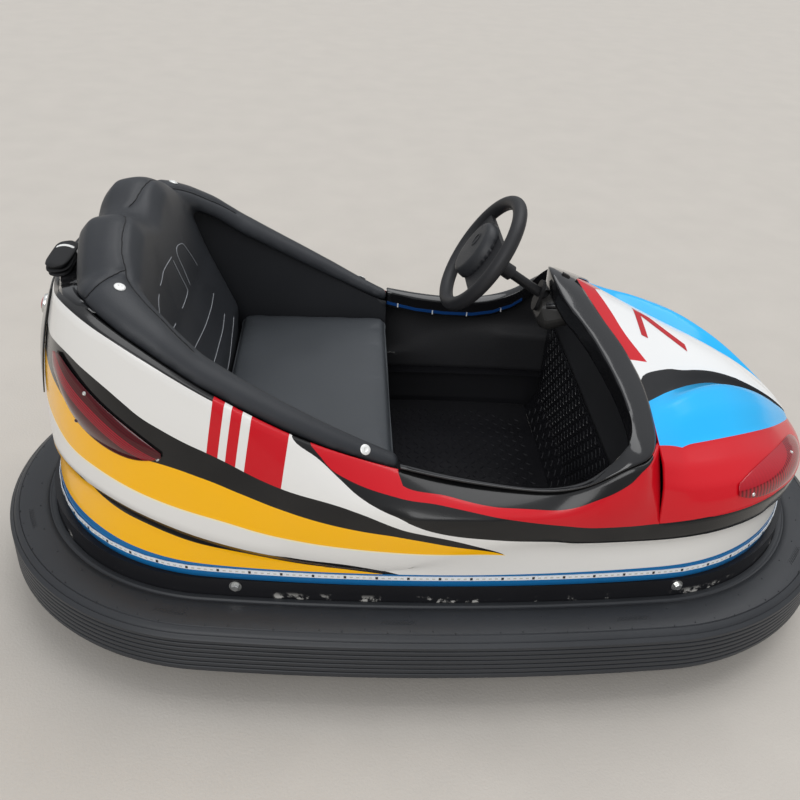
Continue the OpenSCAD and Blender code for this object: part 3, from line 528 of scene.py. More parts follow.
# Each band is a colour and the line that it starts at, as rows of station and height in metres.
band_lines = [
    (black, [(0, .25), (92, .25), (95, .262), (97.6, .268), (103.7, .279), (111.4, .290), (119, .3075),
             (126.7, .322), (135.9, .345), (142.4, .356), (147.7, .372), (151, .400), (155, .401),
             (180, .366)]),
    (white, [(0, .25), (90, .25), (95, .266), (103.7, .297), (111.4, .309), (119, .329), (126.7, .353),
             (135.9, .381), (142.4, .393), (147.7, .397), (151, .402), (155, .4012), (180, .3662)]),
    (cream, [(0, .25), (76, .25), (80.3, .3285), (96.3, .335), (105.3, .346), (111.2, .358), (117, .3755),
             (122.8, .398), (128.9, .4165), (135.8, .433), (144, .450), (152.5, .461), (160, .484),
             (170, .501), (180, .508)]),
    (yellow, [(0, .25), (76, .25), (80.3, .3295), (96.3, .3384), (105.3, .3495), (111.2, .3616), (117, .379),
              (122.8, .4015), (128.9, .420), (135.8, .437), (144, .454), (152.5, .465), (160, .488),
              (170, .505), (180, .512)]),
    (black, [(0, .25), (76, .25), (80.3, .3296), (90.5, .3646), (96.5, .3815), (102.4, .3946), (108.2, .4135),
             (114, .440), (119.6, .471), (125.2, .501), (130.6, .519), (138.6, .526), (144.7, .542),
             (149.5, .566), (154.6, .592), (164.9, .609), (172, .615), (180, .618)]),
    ("striped", [(0, .25), (76, .25), (80.3, .3297), (82.5, .347), (85.3, .362), (89.1, .378), (92.8, .390),
                 (96.5, .403), (101.7, .432), (105.4, .4505), (113.6, .4852), (124.2, .5565), (127.9, .578),
                 (130.9, .596), (134, .614), (137.3, .6386), (140.8, .6616), (144.9, .680), (150.6, .693),
                 (161, .674), (170, .668), (180, .665)]),
    (black, [(0, .338), (20, .348), (33, .370), (48, .373), (58, .371), (66, .371), (75.6, .3745),
             (81.7, .3784), (90.7, .395), (96.7, .428), (99.6, .4442), (102.6, .4668), (105.5, .499),
             (108.5, .5356), (112.6, .582), (114, .95), (180, .95)]),
    (red, [(0, .398), (20, .408), (32.6, .4164), (43.5, .419), (51.3, .4195), (59.4, .4137), (67, .4115),
           (73.2, .419), (79.2, .429), (85, .440), (90.9, .450), (96.7, .460), (105.5, .505), (108.5, .542),
           (112.6, .62), (115, .95), (180, .95)]),
    (black, [(0, .95), (57.5, .95), (59.3, .547), (61.5, .534), (63.6, .508), (67.7, .475), (72.6, .450),
             (76.2, .447), (82, .4474), (89.3, .4587), (96.8, .479), (99, .95), (180, .95)])]
blue_line = [(0, .284), (30, .280), (50, .276), (70, .272), (90, .270), (110, .270), (125, .272), (140, .279),
             (150, .286), (160, .290), (180, .292)]
cross_stripes = [(113.2, 118.7), (120.0, 121.5), (122.6, 124.2)]
stripe_lean, stripe_foot = 9.5, 0.55


def curve_through(tree, value, rows, handle=None):
    """A curve over value, through rows of its place and its height there."""
    line = added(tree, "FloatCurve")
    points = line.mapping.curves[0].points
    points[0].location = rows[0]
    for row in rows[1:-1]:
        points.new(*row)
    points[-1].location = rows[-1]
    if handle:
        for point in points:
            point.handle_type = handle
    line.mapping.update()
    wired(tree, (value, line.inputs["Value"]))
    return line.outputs[0]


def gloss_paint(name, colour):
    """Gloss paint of one colour, a little darker in places."""
    return finish(name, [c * 0.98 for c in colour], 0.2, 700.0, 0.00008, drift=0.0204, coat=0.14)


def livery(name, deck_is_black):
    """The shell's bands, one over the other, up its height at each station."""
    made = gloss_paint(name, white)
    tree = made.node_tree
    station, height = read_chart(tree)

    def above(rows):
        line = curve_through(tree, station, [(t / 180, z) for t, z in rows], "AUTO_CLAMPED")
        return worked(tree, "GREATER_THAN", height, line)

    lean = worked(tree, "MULTIPLY", worked(tree, "SUBTRACT", height, stripe_foot), stripe_lean)
    leaning = worked(tree, "ADD", worked(tree, "MULTIPLY", station, 180.0), lean)
    stripes = 0.0
    for start, end in cross_stripes:
        stripe = worked(tree, "COMPARE", leaning, (start + end) / 2, (end - start) / 2)
        stripes = worked(tree, "ADD", stripes, stripe)
    striped_white = painted(tree, white, red, stripes)
    colour = yellow
    for band, rows in band_lines:
        colour = painted(tree, colour, striped_white if band == "striped" else band, above(rows))
    colour = painted(tree, blue, colour, above(blue_line))
    if deck_is_black:
        colour = painted(tree, colour, black, worked(tree, "GREATER_THAN", leaning, cross_stripes[-1][1]))
    dust = added(tree, "TexNoise", Scale=9.0, Detail=8.0)
    dusty = added(tree, "MapRange", From_Min=0.35, From_Max=0.75, To_Min=0.0, To_Max=0.018)
    wired(tree, (added(tree, "TexCoord").outputs["Object"], dust.inputs["Vector"]),
          (dust.outputs["Fac"], dusty.inputs["Value"]))
    colour = painted(tree, colour, (0.45, 0.42, 0.38), dusty.outputs["Result"])
    wired(tree, (colour, tree.nodes["Principled BSDF"].inputs["Base Color"]))
    return made


inner_black = finish("raw_inner_moulding", (0.022, 0.022, 0.024), 0.55, 260.0, 0.0006, drift=0.25)
shell_side, shell_inside, shell_deck = range(3)


def shell_face(middle, facing):
    if facing.dot(out_of_shell(middle.x, middle.y)) < -0.3 or facing.z < -0.9:
        return shell_inside
    return shell_deck if facing.z > 0.8 and middle.z > 0.44 else shell_side


shell = reworked("body_shell", "shell_moulding", corner=38.0)
coated(shell, livery("shell_livery", False), inner_black, livery("deck_livery", True))
faces_sorted(shell, shell_face)
settled(shell)
follow_shell(shell)
smoothed(shell, 40)
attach(shell, "chassis")
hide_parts("body_shell")

# Light strip round the skirt: a white flexible strip under a clear skin, stuck on, with a cutting
# mark every 63.7 mm and small lamps between.
strip_white = finish("strip_skin", (0.78, 0.80, 0.82), 0.22, 500.0, 0.0001, drift=0.05)
coated(nodes["skirt_light_strip"], strip_white)
strip_out, strip_height, mark_spacing, lamps_to_mark = 0.0041, 0.261, 0.0637, 4
skirt_stations = np.linspace(-180, 180, 2881)
skirt_line = [shell_at(t, strip_out) for t in skirt_stations]
lengths = np.concatenate([[0], np.cumsum([math.dist(a, b) for a, b in zip(skirt_line, skirt_line[1:])])])
mark_count = round(lengths[-1] / mark_spacing)
marks, chips = [], []
for i in range(mark_count):
    for j in range(lamps_to_mark + 1):
        along = (i + j / (lamps_to_mark + 1) + 0.29) * lengths[-1] / mark_count
        t = float(np.interp(along, lengths, skirt_stations))
        spot = ((*shell_at(t, strip_out), strip_height), outward(shell_at, t), (0, 0, 1))
        (chips if j else marks).append(spot)


def tile(width, height, depth):
    """A small plate with a bevelled edge."""
    a, b = width / 2, height / 2
    rows = [(a, b, 0), (a, b, depth * 0.6), (a * 0.85, b * 0.85, depth)]
    corners = ((-1, -1), (1, -1), (1, 1), (-1, 1))
    points = [(way_x * x, way_y * y, z) for x, y, z in rows for way_x, way_y in corners]
    return points, woven(3, 4, ring_columns=True) + [lid_on(8, 4), lid_on(0, 4)[::-1]]


mark_black = finish("cutting_mark", (0.02, 0.02, 0.022), 0.4, 500.0, 0.0001)
chip_grey = finish("strip_lamp", (0.50, 0.50, 0.46), 0.25, 500.0, 0.0001)
fittings("skirt_strip_marks", marks, tile(0.0062, 0.0052, 0.0005), mark_black, "chassis")
fittings("skirt_strip_lamps", chips, tile(0.0028, 0.006, 0.0004), chip_grey, "chassis")

# Bonnet: a glass-fibre moulding that drops over the shell's edge. A raised white panel runs down
# its middle; black paint covers the panel's sloping sides, blue the wings, and red the shoulders.
# Each line below is rows of how far forward it is, and how far from the middle.
step_top = [(.300, .30), (.409, .235), (.466, .184), (.528, .137), (.588, .102), (.646, .079), (.704, .065),
            (.762, .055), (.813, .044), (.854, .027), (.866, .008), (.9, .004)]
step_foot = [(.300, .34), (.413, .286), (.485, .210), (.552, .150), (.613, .112), (.673, .088), (.735, .070),
             (.800, .052), (.837, .038), (.866, .012), (.9, .006)]
colour_edge = [(.300, .40), (.4126, .387), (.470, .355), (.518, .335), (.569, .312), (.622, .285),
               (.690, .235), (.745, .185), (.800, .122), (.840, .070), (.866, .017), (.9, .01)]
# The stripe's front edge: rows of how far from the middle, and how far forward.
cowl_line = [(0, .352), (.052, .377), (.109, .400), (.148, .427), (.165, .440), (.2, .463), (.3, .52),
             (1, .9)]
bonnet_colour = (0.60, 0.006, 0.014)
panel_face, step_face, wing_face, shoulder_face, under_face = range(5)


def within(rows, place):
    """Whether a place on the bonnet is nearer to its middle than a line is."""
    return abs(place.y) < np.interp(place.x, [row[0] for row in rows], [row[1] for row in rows])


def bonnet_face(middle, facing):
    inset = Vector((middle.x, abs(middle.y) + 0.012))
    if facing.z < 0.0 and within(colour_edge, inset):
        return under_face
    if facing.x < -0.35:
        return under_face if within(step_foot, middle) else shoulder_face
    if facing.z < 0.3 and facing.dot(out_of_shell(middle.x, middle.y)) < -0.1:
        return under_face
    for kind, line in ((panel_face, step_top), (step_face, step_foot), (wing_face, colour_edge)):
        if within(line, middle):
            return kind
    return shoulder_face


def with_cowl_stripe(made, colour):
    """A stripe 50 mm wide over the paint, beside the cockpit's frame."""
    tree = made.node_tree
    split = added(tree, "SeparateXYZ")
    wired(tree, (added(tree, "TexCoord").outputs["Object"], split.inputs[0]))
    forward, side = split.outputs["X"], worked(tree, "ABSOLUTE", split.outputs["Y"])
    behind = worked(tree, "LESS_THAN", forward, curve_through(tree, side, cowl_line))
    stripe_end = worked(tree, "MULTIPLY_ADD", forward, -0.45, 0.363)
    inside = worked(tree, "LESS_THAN", side, stripe_end)
    laid_over(made, colour, worked(tree, "MULTIPLY", behind, inside))
    return made


bonnet = reworked("bonnet", "bonnet_moulding", corner=14.0, hollow=14.0, keep=0.8, mirrored=True)
coated(bonnet, with_cowl_stripe(gloss_paint("bonnet_white", (0.86, 0.86, 0.85)), bonnet_colour),
       gloss_paint("bonnet_black", (0.007, 0.007, 0.008)), gloss_paint("bonnet_blue", (0.012, 0.46, 0.92)),
       gloss_paint("bonnet_red", bonnet_colour), inner_black)
faces_sorted(bonnet, bonnet_face)
settled(bonnet)
smoothed(bonnet, 24)
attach(bonnet, "chassis")
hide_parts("bonnet")

# Footwell bulkhead: a thin black sheet from the toe board's top up under the bonnet, with a slot
# for the steering shaft. It is pop-riveted to the toe board.
bonnet_tree = tree_of(bonnet)
wall_foot, wall_head, wall_half, wall_x, wall_lean = 0.405, 0.595, 0.392, 0.3675, 0.34
slot_middle, slot_half, slot_foot, wall_gap = -0.0089, 0.045, 0.50, 0.004
wall_columns, wall_rows = np.linspace(-wall_half, wall_half, 45), np.linspace(wall_foot, wall_head, 17)
wall_points = []
for y in wall_columns:
    for z in wall_rows:
        x = wall_x + (z - wall_foot) * wall_lean
        over, _ = face_met(bonnet_tree, (x, y, wall_foot - 0.005), (0, 0, 1))
        roof = over.z - wall_gap if over is not None else wall_head
        wall_points.append((x, y, min(z, max(wall_foot, roof))))
wall_faces = []
for face in woven(len(wall_columns), len(wall_rows)):
    _, y, z = wall_points[face[0]]
    if abs(y - slot_middle) > slot_half or z < slot_foot:
        wall_faces.append(face)
bulkhead = mesh_thing("footwell_bulkhead", wall_points, wall_faces)
squared(bulkhead, 30, merge=1e-5)
bulkhead.modifiers.new("wall", "SOLIDIFY").thickness = 0.0012
coated(bulkhead, inner_black)
settled(bulkhead)
squared(bulkhead, 30)
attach(bulkhead, "chassis")
rivets = [(*face_met(toe_tree, (0.2, y, 0.411), (1, 0, 0)), (0, 1, 0)) for y in np.arange(-0.36, 0.37, 0.06)]
fittings("bulkhead_rivets", rivets, dome(0.0032, 0.0016, 10), plate_paint, "chassis")

# Race number: a plain seven in red vinyl, cut and stuck on the bonnet's white panel, read from
# the front. Each stroke is its four corners, forward and to the left.
strokes = [[(0.446, -0.084), (0.462, -0.084), (0.462, 0.012), (0.446, 0.012)],
           [(0.462, 0.012), (0.462, -0.010), (0.566, -0.062), (0.566, -0.040)]]
stroke_rows, stroke_columns = np.linspace(0, 1, 23), np.linspace(0, 1, 13)
number_points, number_faces = [], []
for stroke in strokes:
    near_foot, far_foot, far_head, near_head = [Vector((*corner, 1.5)) for corner in stroke]
    number_faces += woven(len(stroke_rows), len(stroke_columns), len(number_points))
    for along in stroke_rows:
        for across in stroke_columns:
            spot = near_foot.lerp(far_foot, across).lerp(near_head.lerp(far_head, across), along)
            hit, _ = face_met(bonnet_tree, spot, (0, 0, -1))
            number_points.append(hit + Vector((0, 0, 0.0007)))
number = mesh_thing("race_number", number_points, number_faces)
vinyl_sheet = number.modifiers.new("vinyl", "SOLIDIFY")
vinyl_sheet.thickness, vinyl_sheet.offset = 0.0003, 1.0
settled(number)
coated(number, gloss_paint("number_vinyl", (0.50, 0.006, 0.012)))
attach(number, "chassis")

# Cockpit surround: a gloss black moulding bolted over the joint of bonnet and shell, whose inner
# edge turns down into the cockpit as a lip. A blue light strip is stuck inside that lip.
gloss_black = finish("gloss_black_moulding", (0.009, 0.009, 0.010), 0.14, 500.0, 0.00008, drift=0.2, coat=0.5)
surround = reworked("cockpit_surround", "cockpit_frame", corner=45.0, hollow=90.0, keep=0.8)
settled(surround)
smoothed(surround, 50)
coated(surround, gloss_black)
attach(surround, "chassis")
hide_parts("cockpit_surround")
strip_blue = finish("blue_strip", (0.008, 0.05, 0.19), 0.25, 500.0, 0.0001)
tick_spacing, ticks = 0.095, []
for side, way in (("left", 1), ("right", -1)):
    strip = nodes[f"cockpit_light_strip_{side}"]
    coated(strip, strip_blue)
    strip_tree, (strip_low, strip_high) = tree_of(strip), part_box(f"cockpit_light_strip_{side}")
    for x in np.arange(strip_low.x + 0.03, strip_high.x, tick_spacing):
        for z in np.linspace(strip_low.z, strip_high.z, 12):
            hit, facing = face_met(strip_tree, (x, 0.1 * way, z), (0, way, 0))
            if hit is not None:
                ticks.append((hit, facing, (0, 0, 1)))
                break
fittings("cockpit_strip_marks", ticks, tile(0.012, 0.003, 0.0004), strip_white, "chassis")


# Headlamps and tail lamps: clear red lenses screwed over a ribbed reflector. Each lens is a low
# blister that follows the moulding under it.
def lens(name, glass, lit, middle, slope, half, rib, ribs_across):
    """Tinted glass. The reflector shows through it as a brighter band of fine lines, whose middle
    is a station and height, and whose line rises by slope for each station."""
    made = finish(name, glass, 0.1, 300.0, 0.00005, drift=0.3, coat=0.3)
    tree = made.node_tree
    station, height = read_chart(tree)
    line = worked(tree, "MULTIPLY_ADD", station, slope * 180, middle[1] - slope * middle[0])
    off = worked(tree, "SUBTRACT", height, line)
    band = worked(tree, "COMPARE", off, -0.35 * half, half)
    if ribs_across:
        waves = worked(tree, "MULTIPLY", station, 180 * math.tau / rib)
    else:
        waves = worked(tree, "MULTIPLY", off, math.tau / rib)
    lines = worked(tree, "MULTIPLY_ADD", worked(tree, "SINE", waves), 0.42, 0.58)
    laid_over(made, lit, worked(tree, "MULTIPLY", worked(tree, "MULTIPLY_ADD", band, 0.85, 0.12), lines))
    return made


def screw_head(radius, height, sides=12):
    """A pan head with a cross recess."""
    head = [(radius, 0), (radius, height * 0.3), (radius * 0.8, height * 0.8), (radius * 0.45, height)]
    recess = []
    for i, (x, y) in enumerate(circle(sides)):
        reach = radius * (0.132 if i % 3 else 0.22)
        recess.append((x * reach, y * reach, height * 0.45))
    faces = woven(5, sides, ring_columns=True) + [lid_on(4 * sides, sides), lid_on(0, sides)[::-1]]
    return rings(head, sides) + recess, faces


tail_red = lens("tail_lens", (0.045, 0.003, 0.005), (0.38, 0.004, 0.018), middle=(143, 0.602), slope=0.0068,
                half=0.012, rib=0.0052, ribs_across=False)
head_red = lens("head_lens", (0.42, 0.006, 0.016), (0.10, 0.002, 0.004), middle=(40, 0.452), slope=0.0,
                half=0.016, rib=0.85, ribs_across=True)
screw_steel = finish("screw_steel", (0.66, 0.66, 0.64), 0.28, 900.0, 0.0001, drift=0.15, metal=0.9)
tail_screws = [(-.668, .361, .633), (-.705, .333, .548), (-.533, .422, .53)]
head_screws = [(.612, .385, .437), (.752, .262, .452)]
lamp_screws = []
for side, way in (("left", 1), ("right", -1)):
    for kind, made_of, screws, tilt in (("tail_lamp", tail_red, tail_screws, 0.0),
                                        ("headlamp", head_red, head_screws, 0.5)):
        lamp = reworked(f"{kind}_{side}", f"{kind}_lens_{side}", corner=34.0, hollow=80.0, keep=0.7)
        settled(lamp)
        squared(lamp, 50)
        follow_shell(lamp)
        coated(lamp, made_of)
        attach(lamp, "chassis")
        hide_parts(f"{kind}_{side}")
        lamp_tree = tree_of(lamp)
        for x, y, z in screws:
            place = Vector((x, y * way, z))
            out = (out_of_shell(place.x, place.y) + Vector((0, 0, tilt))).normalized()
            spot, facing = face_met(lamp_tree, place + out * 0.25, -out)
            if spot is None:
                spot, facing, _, _ = lamp_tree.find_nearest(place)
            lamp_screws.append((spot, facing if facing.dot(out) > 0 else -facing, (0, 0, 1)))
fittings("lamp_screws", lamp_screws, screw_head(0.0042, 0.0024), screw_steel, "chassis")


# Rim bolts: zinc-plated hexagon bolts, each on its washer, that hold the shell's skirt to the
# rim. There are two on each side.
def hexagon_bolt(radius, height):
    washer, wide = 0.0014, radius * 1.5
    head = [(radius, washer), (radius, washer + height * 0.85), (radius * 0.86, washer + height)]
    points = rings([(wide, 0), (wide, washer)], 24) + rings(head, 6)
    faces = woven(2, 24, ring_columns=True) + [lid_on(24, 24), lid_on(0, 24)[::-1]]
    return points, faces + woven(3, 6, 48, ring_columns=True) + [lid_on(60, 6)]


bolts = [((*rim_at(t, 0.0), 0.2215), outward(rim_at, t), (0, 0, 1)) for t in (51.4, 120.9, -51.4, -120.9)]
fittings("rim_bolts", bolts, hexagon_bolt(0.0085, 0.0065), screw_steel, "chassis")

# Rear lid: a low gloss black cover on the rear deck, rounded at both ends, that the seat's back
# overlaps. It hides the heads of the seat's fixing bolts.
shell_tree = tree_of(shell)
lid_middle, lid_half_turn, lid_width, lid_height, lid_inset = 180.0, 36.5, 0.046, 0.007, 0.008
lid_columns, lid_rows = np.linspace(-1, 1, 73), np.linspace(-1, 1, 13)
lid_points = []
for u in lid_columns:
    t = lid_middle + lid_half_turn * u
    t = t if t <= 180 else t - 360
    edge, deck = -0.02, 0.76
    for out in np.arange(0.0, -0.07, -0.002):
        hit, facing = face_met(shell_tree, (*shell_at(t, out), 1.2), (0, 0, -1))
        if hit is not None and facing.z > 0.9 and hit.z > 0.6:
            edge, deck = out, hit.z
            break
    end = math.sqrt(max(0.0, 1 - abs(u) ** 9))
    for across in lid_rows:
        out = edge - lid_inset - lid_width / 2 * (1 - across * end)
        hit, _ = face_met(shell_tree, (*shell_at(t, out), 1.2), (0, 0, -1))
        height = hit.z if hit is not None and abs(hit.z - deck) < 0.01 else deck
        rise = lid_height * math.sqrt(max(0.0, 1 - abs(across) ** 7)) * end - 0.0006
        lid_points.append((*shell_at(t, out), height + rise))
lid = mesh_thing("rear_lid", lid_points, woven(len(lid_columns), len(lid_rows)))
squared(lid, 50)
coated(lid, gloss_black)
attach(lid, "chassis")

# Rear panel and lamp: a raised gloss black panel, moulded with the tail, and a round red lamp in
# a bright turned ring that screws into it.
panel = reworked("rear_panel", "tail_panel", corner=34.0, hollow=80.0, keep=0.7)
settled(panel)
squared(panel, 50)
coated(panel, gloss_black)
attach(panel, "chassis")
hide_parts("rear_panel")


def turned(name, section, foot, axis, sides=48):
    """A section, rows of radius and height, turned round an axis."""
    stand = Vector(axis).to_track_quat("Z", "Y")
    points = [Vector(foot) + stand @ Vector((x * r, y * r, h)) for x, y in circle(sides) for r, h in section]
    thing = mesh_thing(name, points, woven(sides, len(section), ring_rows=True))
    squared(thing, 40, merge=1e-6)
    return thing


lamp_low, lamp_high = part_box("rear_lamp")
lamp_tilt = math.radians(78)
lamp_axis = (-math.sin(lamp_tilt), 0, math.cos(lamp_tilt))
lamp_foot = (lamp_high.x - 0.0035, 0, (lamp_low.z + lamp_high.z) / 2 - 0.001)
ring_section = [(0, 0.001), (0.022, 0.001), (0.0225, 0.005), (0.0205, 0.0098), (0.0165, 0.0102),
                (0.0158, 0.006), (0, 0.006)]
glass_section = [(0, 0.0055), (0.0156, 0.0055), (0.0156, 0.0102), (0.0135, 0.0128), (0.008, 0.0144),
                 (0, 0.0149)]
glass_red = finish("rear_lamp_glass", (0.45, 0.006, 0.012), 0.1, 500.0, 0.0001, drift=0.2, coat=0.6)
lamp_ring = turned("rear_lamp_ring", ring_section, lamp_foot, lamp_axis)
coated(lamp_ring, screw_steel)
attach(lamp_ring, "chassis")
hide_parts("rear_lamp")
lamp_glass = turned("rear_lamp_glass", glass_section, lamp_foot, lamp_axis)
coated(lamp_glass, glass_red)
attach(lamp_glass, "chassis")

# Upholstery: the backrest and the two arm rolls are one foam moulding under black vinyl, sewn
# along the humps' inner edges and across where each hump meets its roll. Snap buttons hold it.
foam_voxel, foam_rounds = 0.0055, 26


def vinyl(name, colour, rough, depth, drift):
    """Black vinyl: small leather-like cells pressed in over its finer roughness."""
    made = finish(name, colour, rough, 650.0, depth, drift=drift)
    tree = made.node_tree
    cells = added(tree, "TexVoronoi", Scale=520.0)
    cells.feature = "DISTANCE_TO_EDGE"
    bump = added(tree, "Bump", Strength=0.35, Distance=0.0004)
    normal = tree.nodes["Principled BSDF"].inputs["Normal"]
    wired(tree, (added(tree, "TexCoord").outputs["Object"], cells.inputs["Vector"]),
          (cells.outputs["Distance"], bump.inputs["Height"]),
          (normal.links[0].from_socket, bump.inputs["Normal"]), (bump.outputs["Normal"], normal))
    return made


def foam(name, solids, swell, voxel, rounds):
    """CAD solids, each swollen a little, as one even skin that is rounded as foam under vinyl is."""
    bm = bmesh.new()
    for node in solids:
        part = bmesh.new()
        part.from_mesh(nodes[node].data)
        bmesh.ops.remove_doubles(part, verts=part.verts, dist=2e-5)
        part.normal_update()
        for v in part.verts:
            v.co += v.normal * swell
        mesh = bpy.data.meshes.new("part")
        part.to_mesh(mesh)
        part.free()
        bm.from_mesh(mesh)
        bpy.data.meshes.remove(mesh)
    thing = put_in(name, bpy.data.meshes.new(name))
    bm.to_mesh(thing.data)
    bm.free()
    skin = thing.modifiers.new("skin", "REMESH")
    skin.mode, skin.voxel_size = "VOXEL", voxel
    soft = thing.modifiers.new("soft", "SMOOTH")
    soft.factor, soft.iterations = 0.5, rounds
    settled(thing)
    thing.data.shade_smooth()
    return thing


def places_of(mesh):
    """The mesh's points as rows of x, y and z."""
    rows = np.zeros(len(mesh.vertices) * 3)
    mesh.vertices.foreach_get("co", rows)
    return rows.reshape(-1, 3)


def pressed_along(thing, lines, depth, reach):
    """Sinks the skin into a soft valley along sewn lines."""
    spots = np.array([p for line in lines for p in line])
    co = places_of(thing.data)
    normals = np.array([v.normal[:] for v in thing.data.vertices])
    nearest = np.full(len(co), 9.0)
    for k in range(0, len(spots), 64):
        nearest = np.minimum(nearest, np.linalg.norm(co[:, None] - spots[None, k:k + 64], axis=2).min(axis=1))
    co -= normals * (depth * np.exp(-(nearest / reach) ** 2))[:, None]
    thing.data.vertices.foreach_set("co", co.ravel())
    thing.data.update()


def smooth_line(points, step=0.004):
    """Even points along a smooth curve through the given ones."""
    p = np.array(points, float)
    p = np.vstack([2 * p[0] - p[1], p, 2 * p[-1] - p[-2]])
    line = []
    for a, b, c, d in zip(p, p[1:], p[2:], p[3:]):
        for s in np.linspace(0, 1, max(2, int(np.linalg.norm(c - b) / step)), endpoint=False):
            line.append(0.5 * (2 * b + (c - a) * s + (2 * a - 5 * b + 4 * c - d) * s ** 2
                               + (3 * b - a - 3 * c + d) * s ** 3))
    return [Vector(place) for place in line + [p[-2]]]


seat_solids = ("backrest", "arm_pad_left", "arm_pad_right")
seat_back = foam("seat_back_and_arms", seat_solids, 0.0012, foam_voxel, foam_rounds)
hump_seam = [(-.650, .028, .838), (-.640, .051, .853), (-.632, .080, .868), (-.624, .115, .870),
             (-.620, .159, .868), (-.614, .202, .848), (-.602, .230, .828), (-.585, .262, .812),
             (-.560, .290, .790), (-.531, .312, .765), (-.500, .334, .742), (-.470, .350, .715)]
arc_seam = [(-.700, .325, .800), (-.672, .318, .812), (-.645, .292, .826), (-.622, .255, .828),
            (-.602, .232, .824)]
seam_lines = []
back_tree = tree_of(seat_back)
for way in (1, -1):
    for seam in (hump_seam, arc_seam):
        line = smooth_line([(x, y * way, z) for x, y, z in seam])
        seam_lines.append([back_tree.find_nearest(place)[0] for place in line])
pressed_along(seat_back, seam_lines, 0.0035, 0.007)
coated(seat_back, vinyl("black_vinyl", (0.026, 0.028, 0.032), 0.40, 0.0007, 0.3))
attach(seat_back, "chassis")
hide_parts("backrest", "arm_pad_left", "arm_pad_right")
back_tree = tree_of(seat_back)


def laid_cord(name, lines, radius, made_of, body, tree, sink=0.4):
    """A thin cord of thread or piping that lies in the skin along each line."""
    points, faces, sides = [], [], 6
    for line in lines:
        on = [tree.find_nearest(p) for p in line]
        first, last = len(points), len(on) - 1
        for i, (spot, facing, _, _) in enumerate(on):
            run = (on[min(i + 1, last)][0] - on[max(i - 1, 0)][0]).normalized()
            across = run.cross(facing).normalized()
            r = radius * (0.2 if i in (0, last) else 1)
            for x, y in circle(sides):
                points.append(spot + facing * (radius * (1 - 2 * sink) + r * y) + across * r * x)
        faces += woven(last + 1, sides, first, ring_columns=True)
        faces += [lid_on(first, sides), lid_on(first + last * sides, sides)[::-1]]
    thing = mesh_thing(name, points, faces)
    squared(thing, 60)
    coated(thing, made_of)
    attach(thing, body)


seam_dark = finish("seam_thread", (0.012, 0.012, 0.013), 0.6, 900.0, 0.0002)
pale_thread = finish("pale_thread", (0.30, 0.31, 0.33), 0.55, 900.0, 0.0002)
laid_cord("hump_seams", seam_lines, 0.0011, seam_dark, "chassis", back_tree)
# Each sewn line is rows of how far to the left, and the height.
sewn = [[(0, .792), (-.053, .796), (-.097, .799), (-.122, .797), (-.150, .794)],
        [(-.173, .788), (-.196, .777), (-.222, .752)],
        [(.054, .698), (.049, .740), (.043, .777), (.060, .789), (.099, .780), (.115, .765), (.140, .731),
         (.159, .699)],
        [(-.001, .785), (.008, .745), (.019, .707), (.004, .700), (-.060, .697)],
        [(-.135, .702), (-.192, .709)],
        [(.176, .619), (.121, .611), (.052, .610), (-.039, .617), (-.113, .624)],
        [(.174, .563), (.110, .552), (.028, .550), (-.049, .552), (-.120, .560)],
        [(.220, .530), (.164, .506), (.093, .484), (.023, .479), (-.060, .481)]]
stitch_lines = []
for row in sewn:
    flat_line = smooth_line([(0, y, z) for y, z in row])
    met = [face_met(back_tree, (-0.2, p.y, p.z), (-1, 0, -0.12))[0] for p in flat_line]
    stitch_lines.append([p for p in met if p is not None])
laid_cord("backrest_stitching", stitch_lines, 0.0009, pale_thread, "chassis", back_tree)

snap = finish("snap_button", (0.78, 0.78, 0.76), 0.35, 300.0, 0.0002, drift=0.1, metal=0.25)
buttons = []
for way in (1, -1):
    for x, y, z in ((-.602, .289, .82), (-.154, .392, .535)):
        spot, facing, _, _ = back_tree.find_nearest(Vector((x, y * way, z)))
        buttons.append((spot, facing, (1, 0, 0)))
fittings("snap_buttons", buttons, screw_head(0.0105, 0.0028, 24), snap, "chassis")

# Seat cushion: a foam block under the same vinyl, crowned between its sewn edges, with piping
# round its top and its foot. It lies loose on the seat's base. Its vinyl and piping are painted
# paler than the backrest's: a painted sheen, standing for the sky's reflection on its top and front.
cushion_voxel, cushion_rounds, crown, blown_at_most = 0.0075, 8, 0.010, 0.006
cushion = foam("seat_cushion_padded", ("seat_cushion",), -0.002, cushion_voxel, cushion_rounds)
low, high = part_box("seat_cushion")
middle, half = (low + high) / 2, (high - low) / 2
for v in cushion.data.vertices:
    u, w = (v.co.x - middle.x) / half.x, (v.co.y - middle.y) / half.y
    rise = max(0.0, (v.co.z - middle.z) / half.z)
    v.co.z += rise * (crown * (1 - u * u) * (1 - w * w) - 0.002)
cushion.data.update()


def inflated(thing, pressure, cap, foot, frames=20):
    """The cover blown out by its foam: a short cloth run, with each point's way capped."""
    rest = places_of(thing.data)
    cloth = thing.modifiers.new("cover", "CLOTH")
    cloth.settings.quality, cloth.settings.mass = 4, 0.3
    cloth.settings.use_pressure, cloth.settings.uniform_pressure_force = True, pressure
    cloth.settings.effector_weights.gravity = 0.0
    cloth.point_cache.frame_start, cloth.point_cache.frame_end = 1, frames
    for moment in range(1, frames + 1):
        scene.frame_set(moment)
    blown = thing.evaluated_get(bpy.context.evaluated_depsgraph_get())
    way = places_of(blown.data) - rest
    thing.modifiers.clear()
    scene.frame_set(1)
    way *= np.minimum(1.0, cap / np.maximum(np.linalg.norm(way, axis=1, keepdims=True), 1e-9))
    way[rest[:, 2] < foot] = 0.0
    thing.data.vertices.foreach_set("co", (rest + way).ravel())
    thing.data.update()


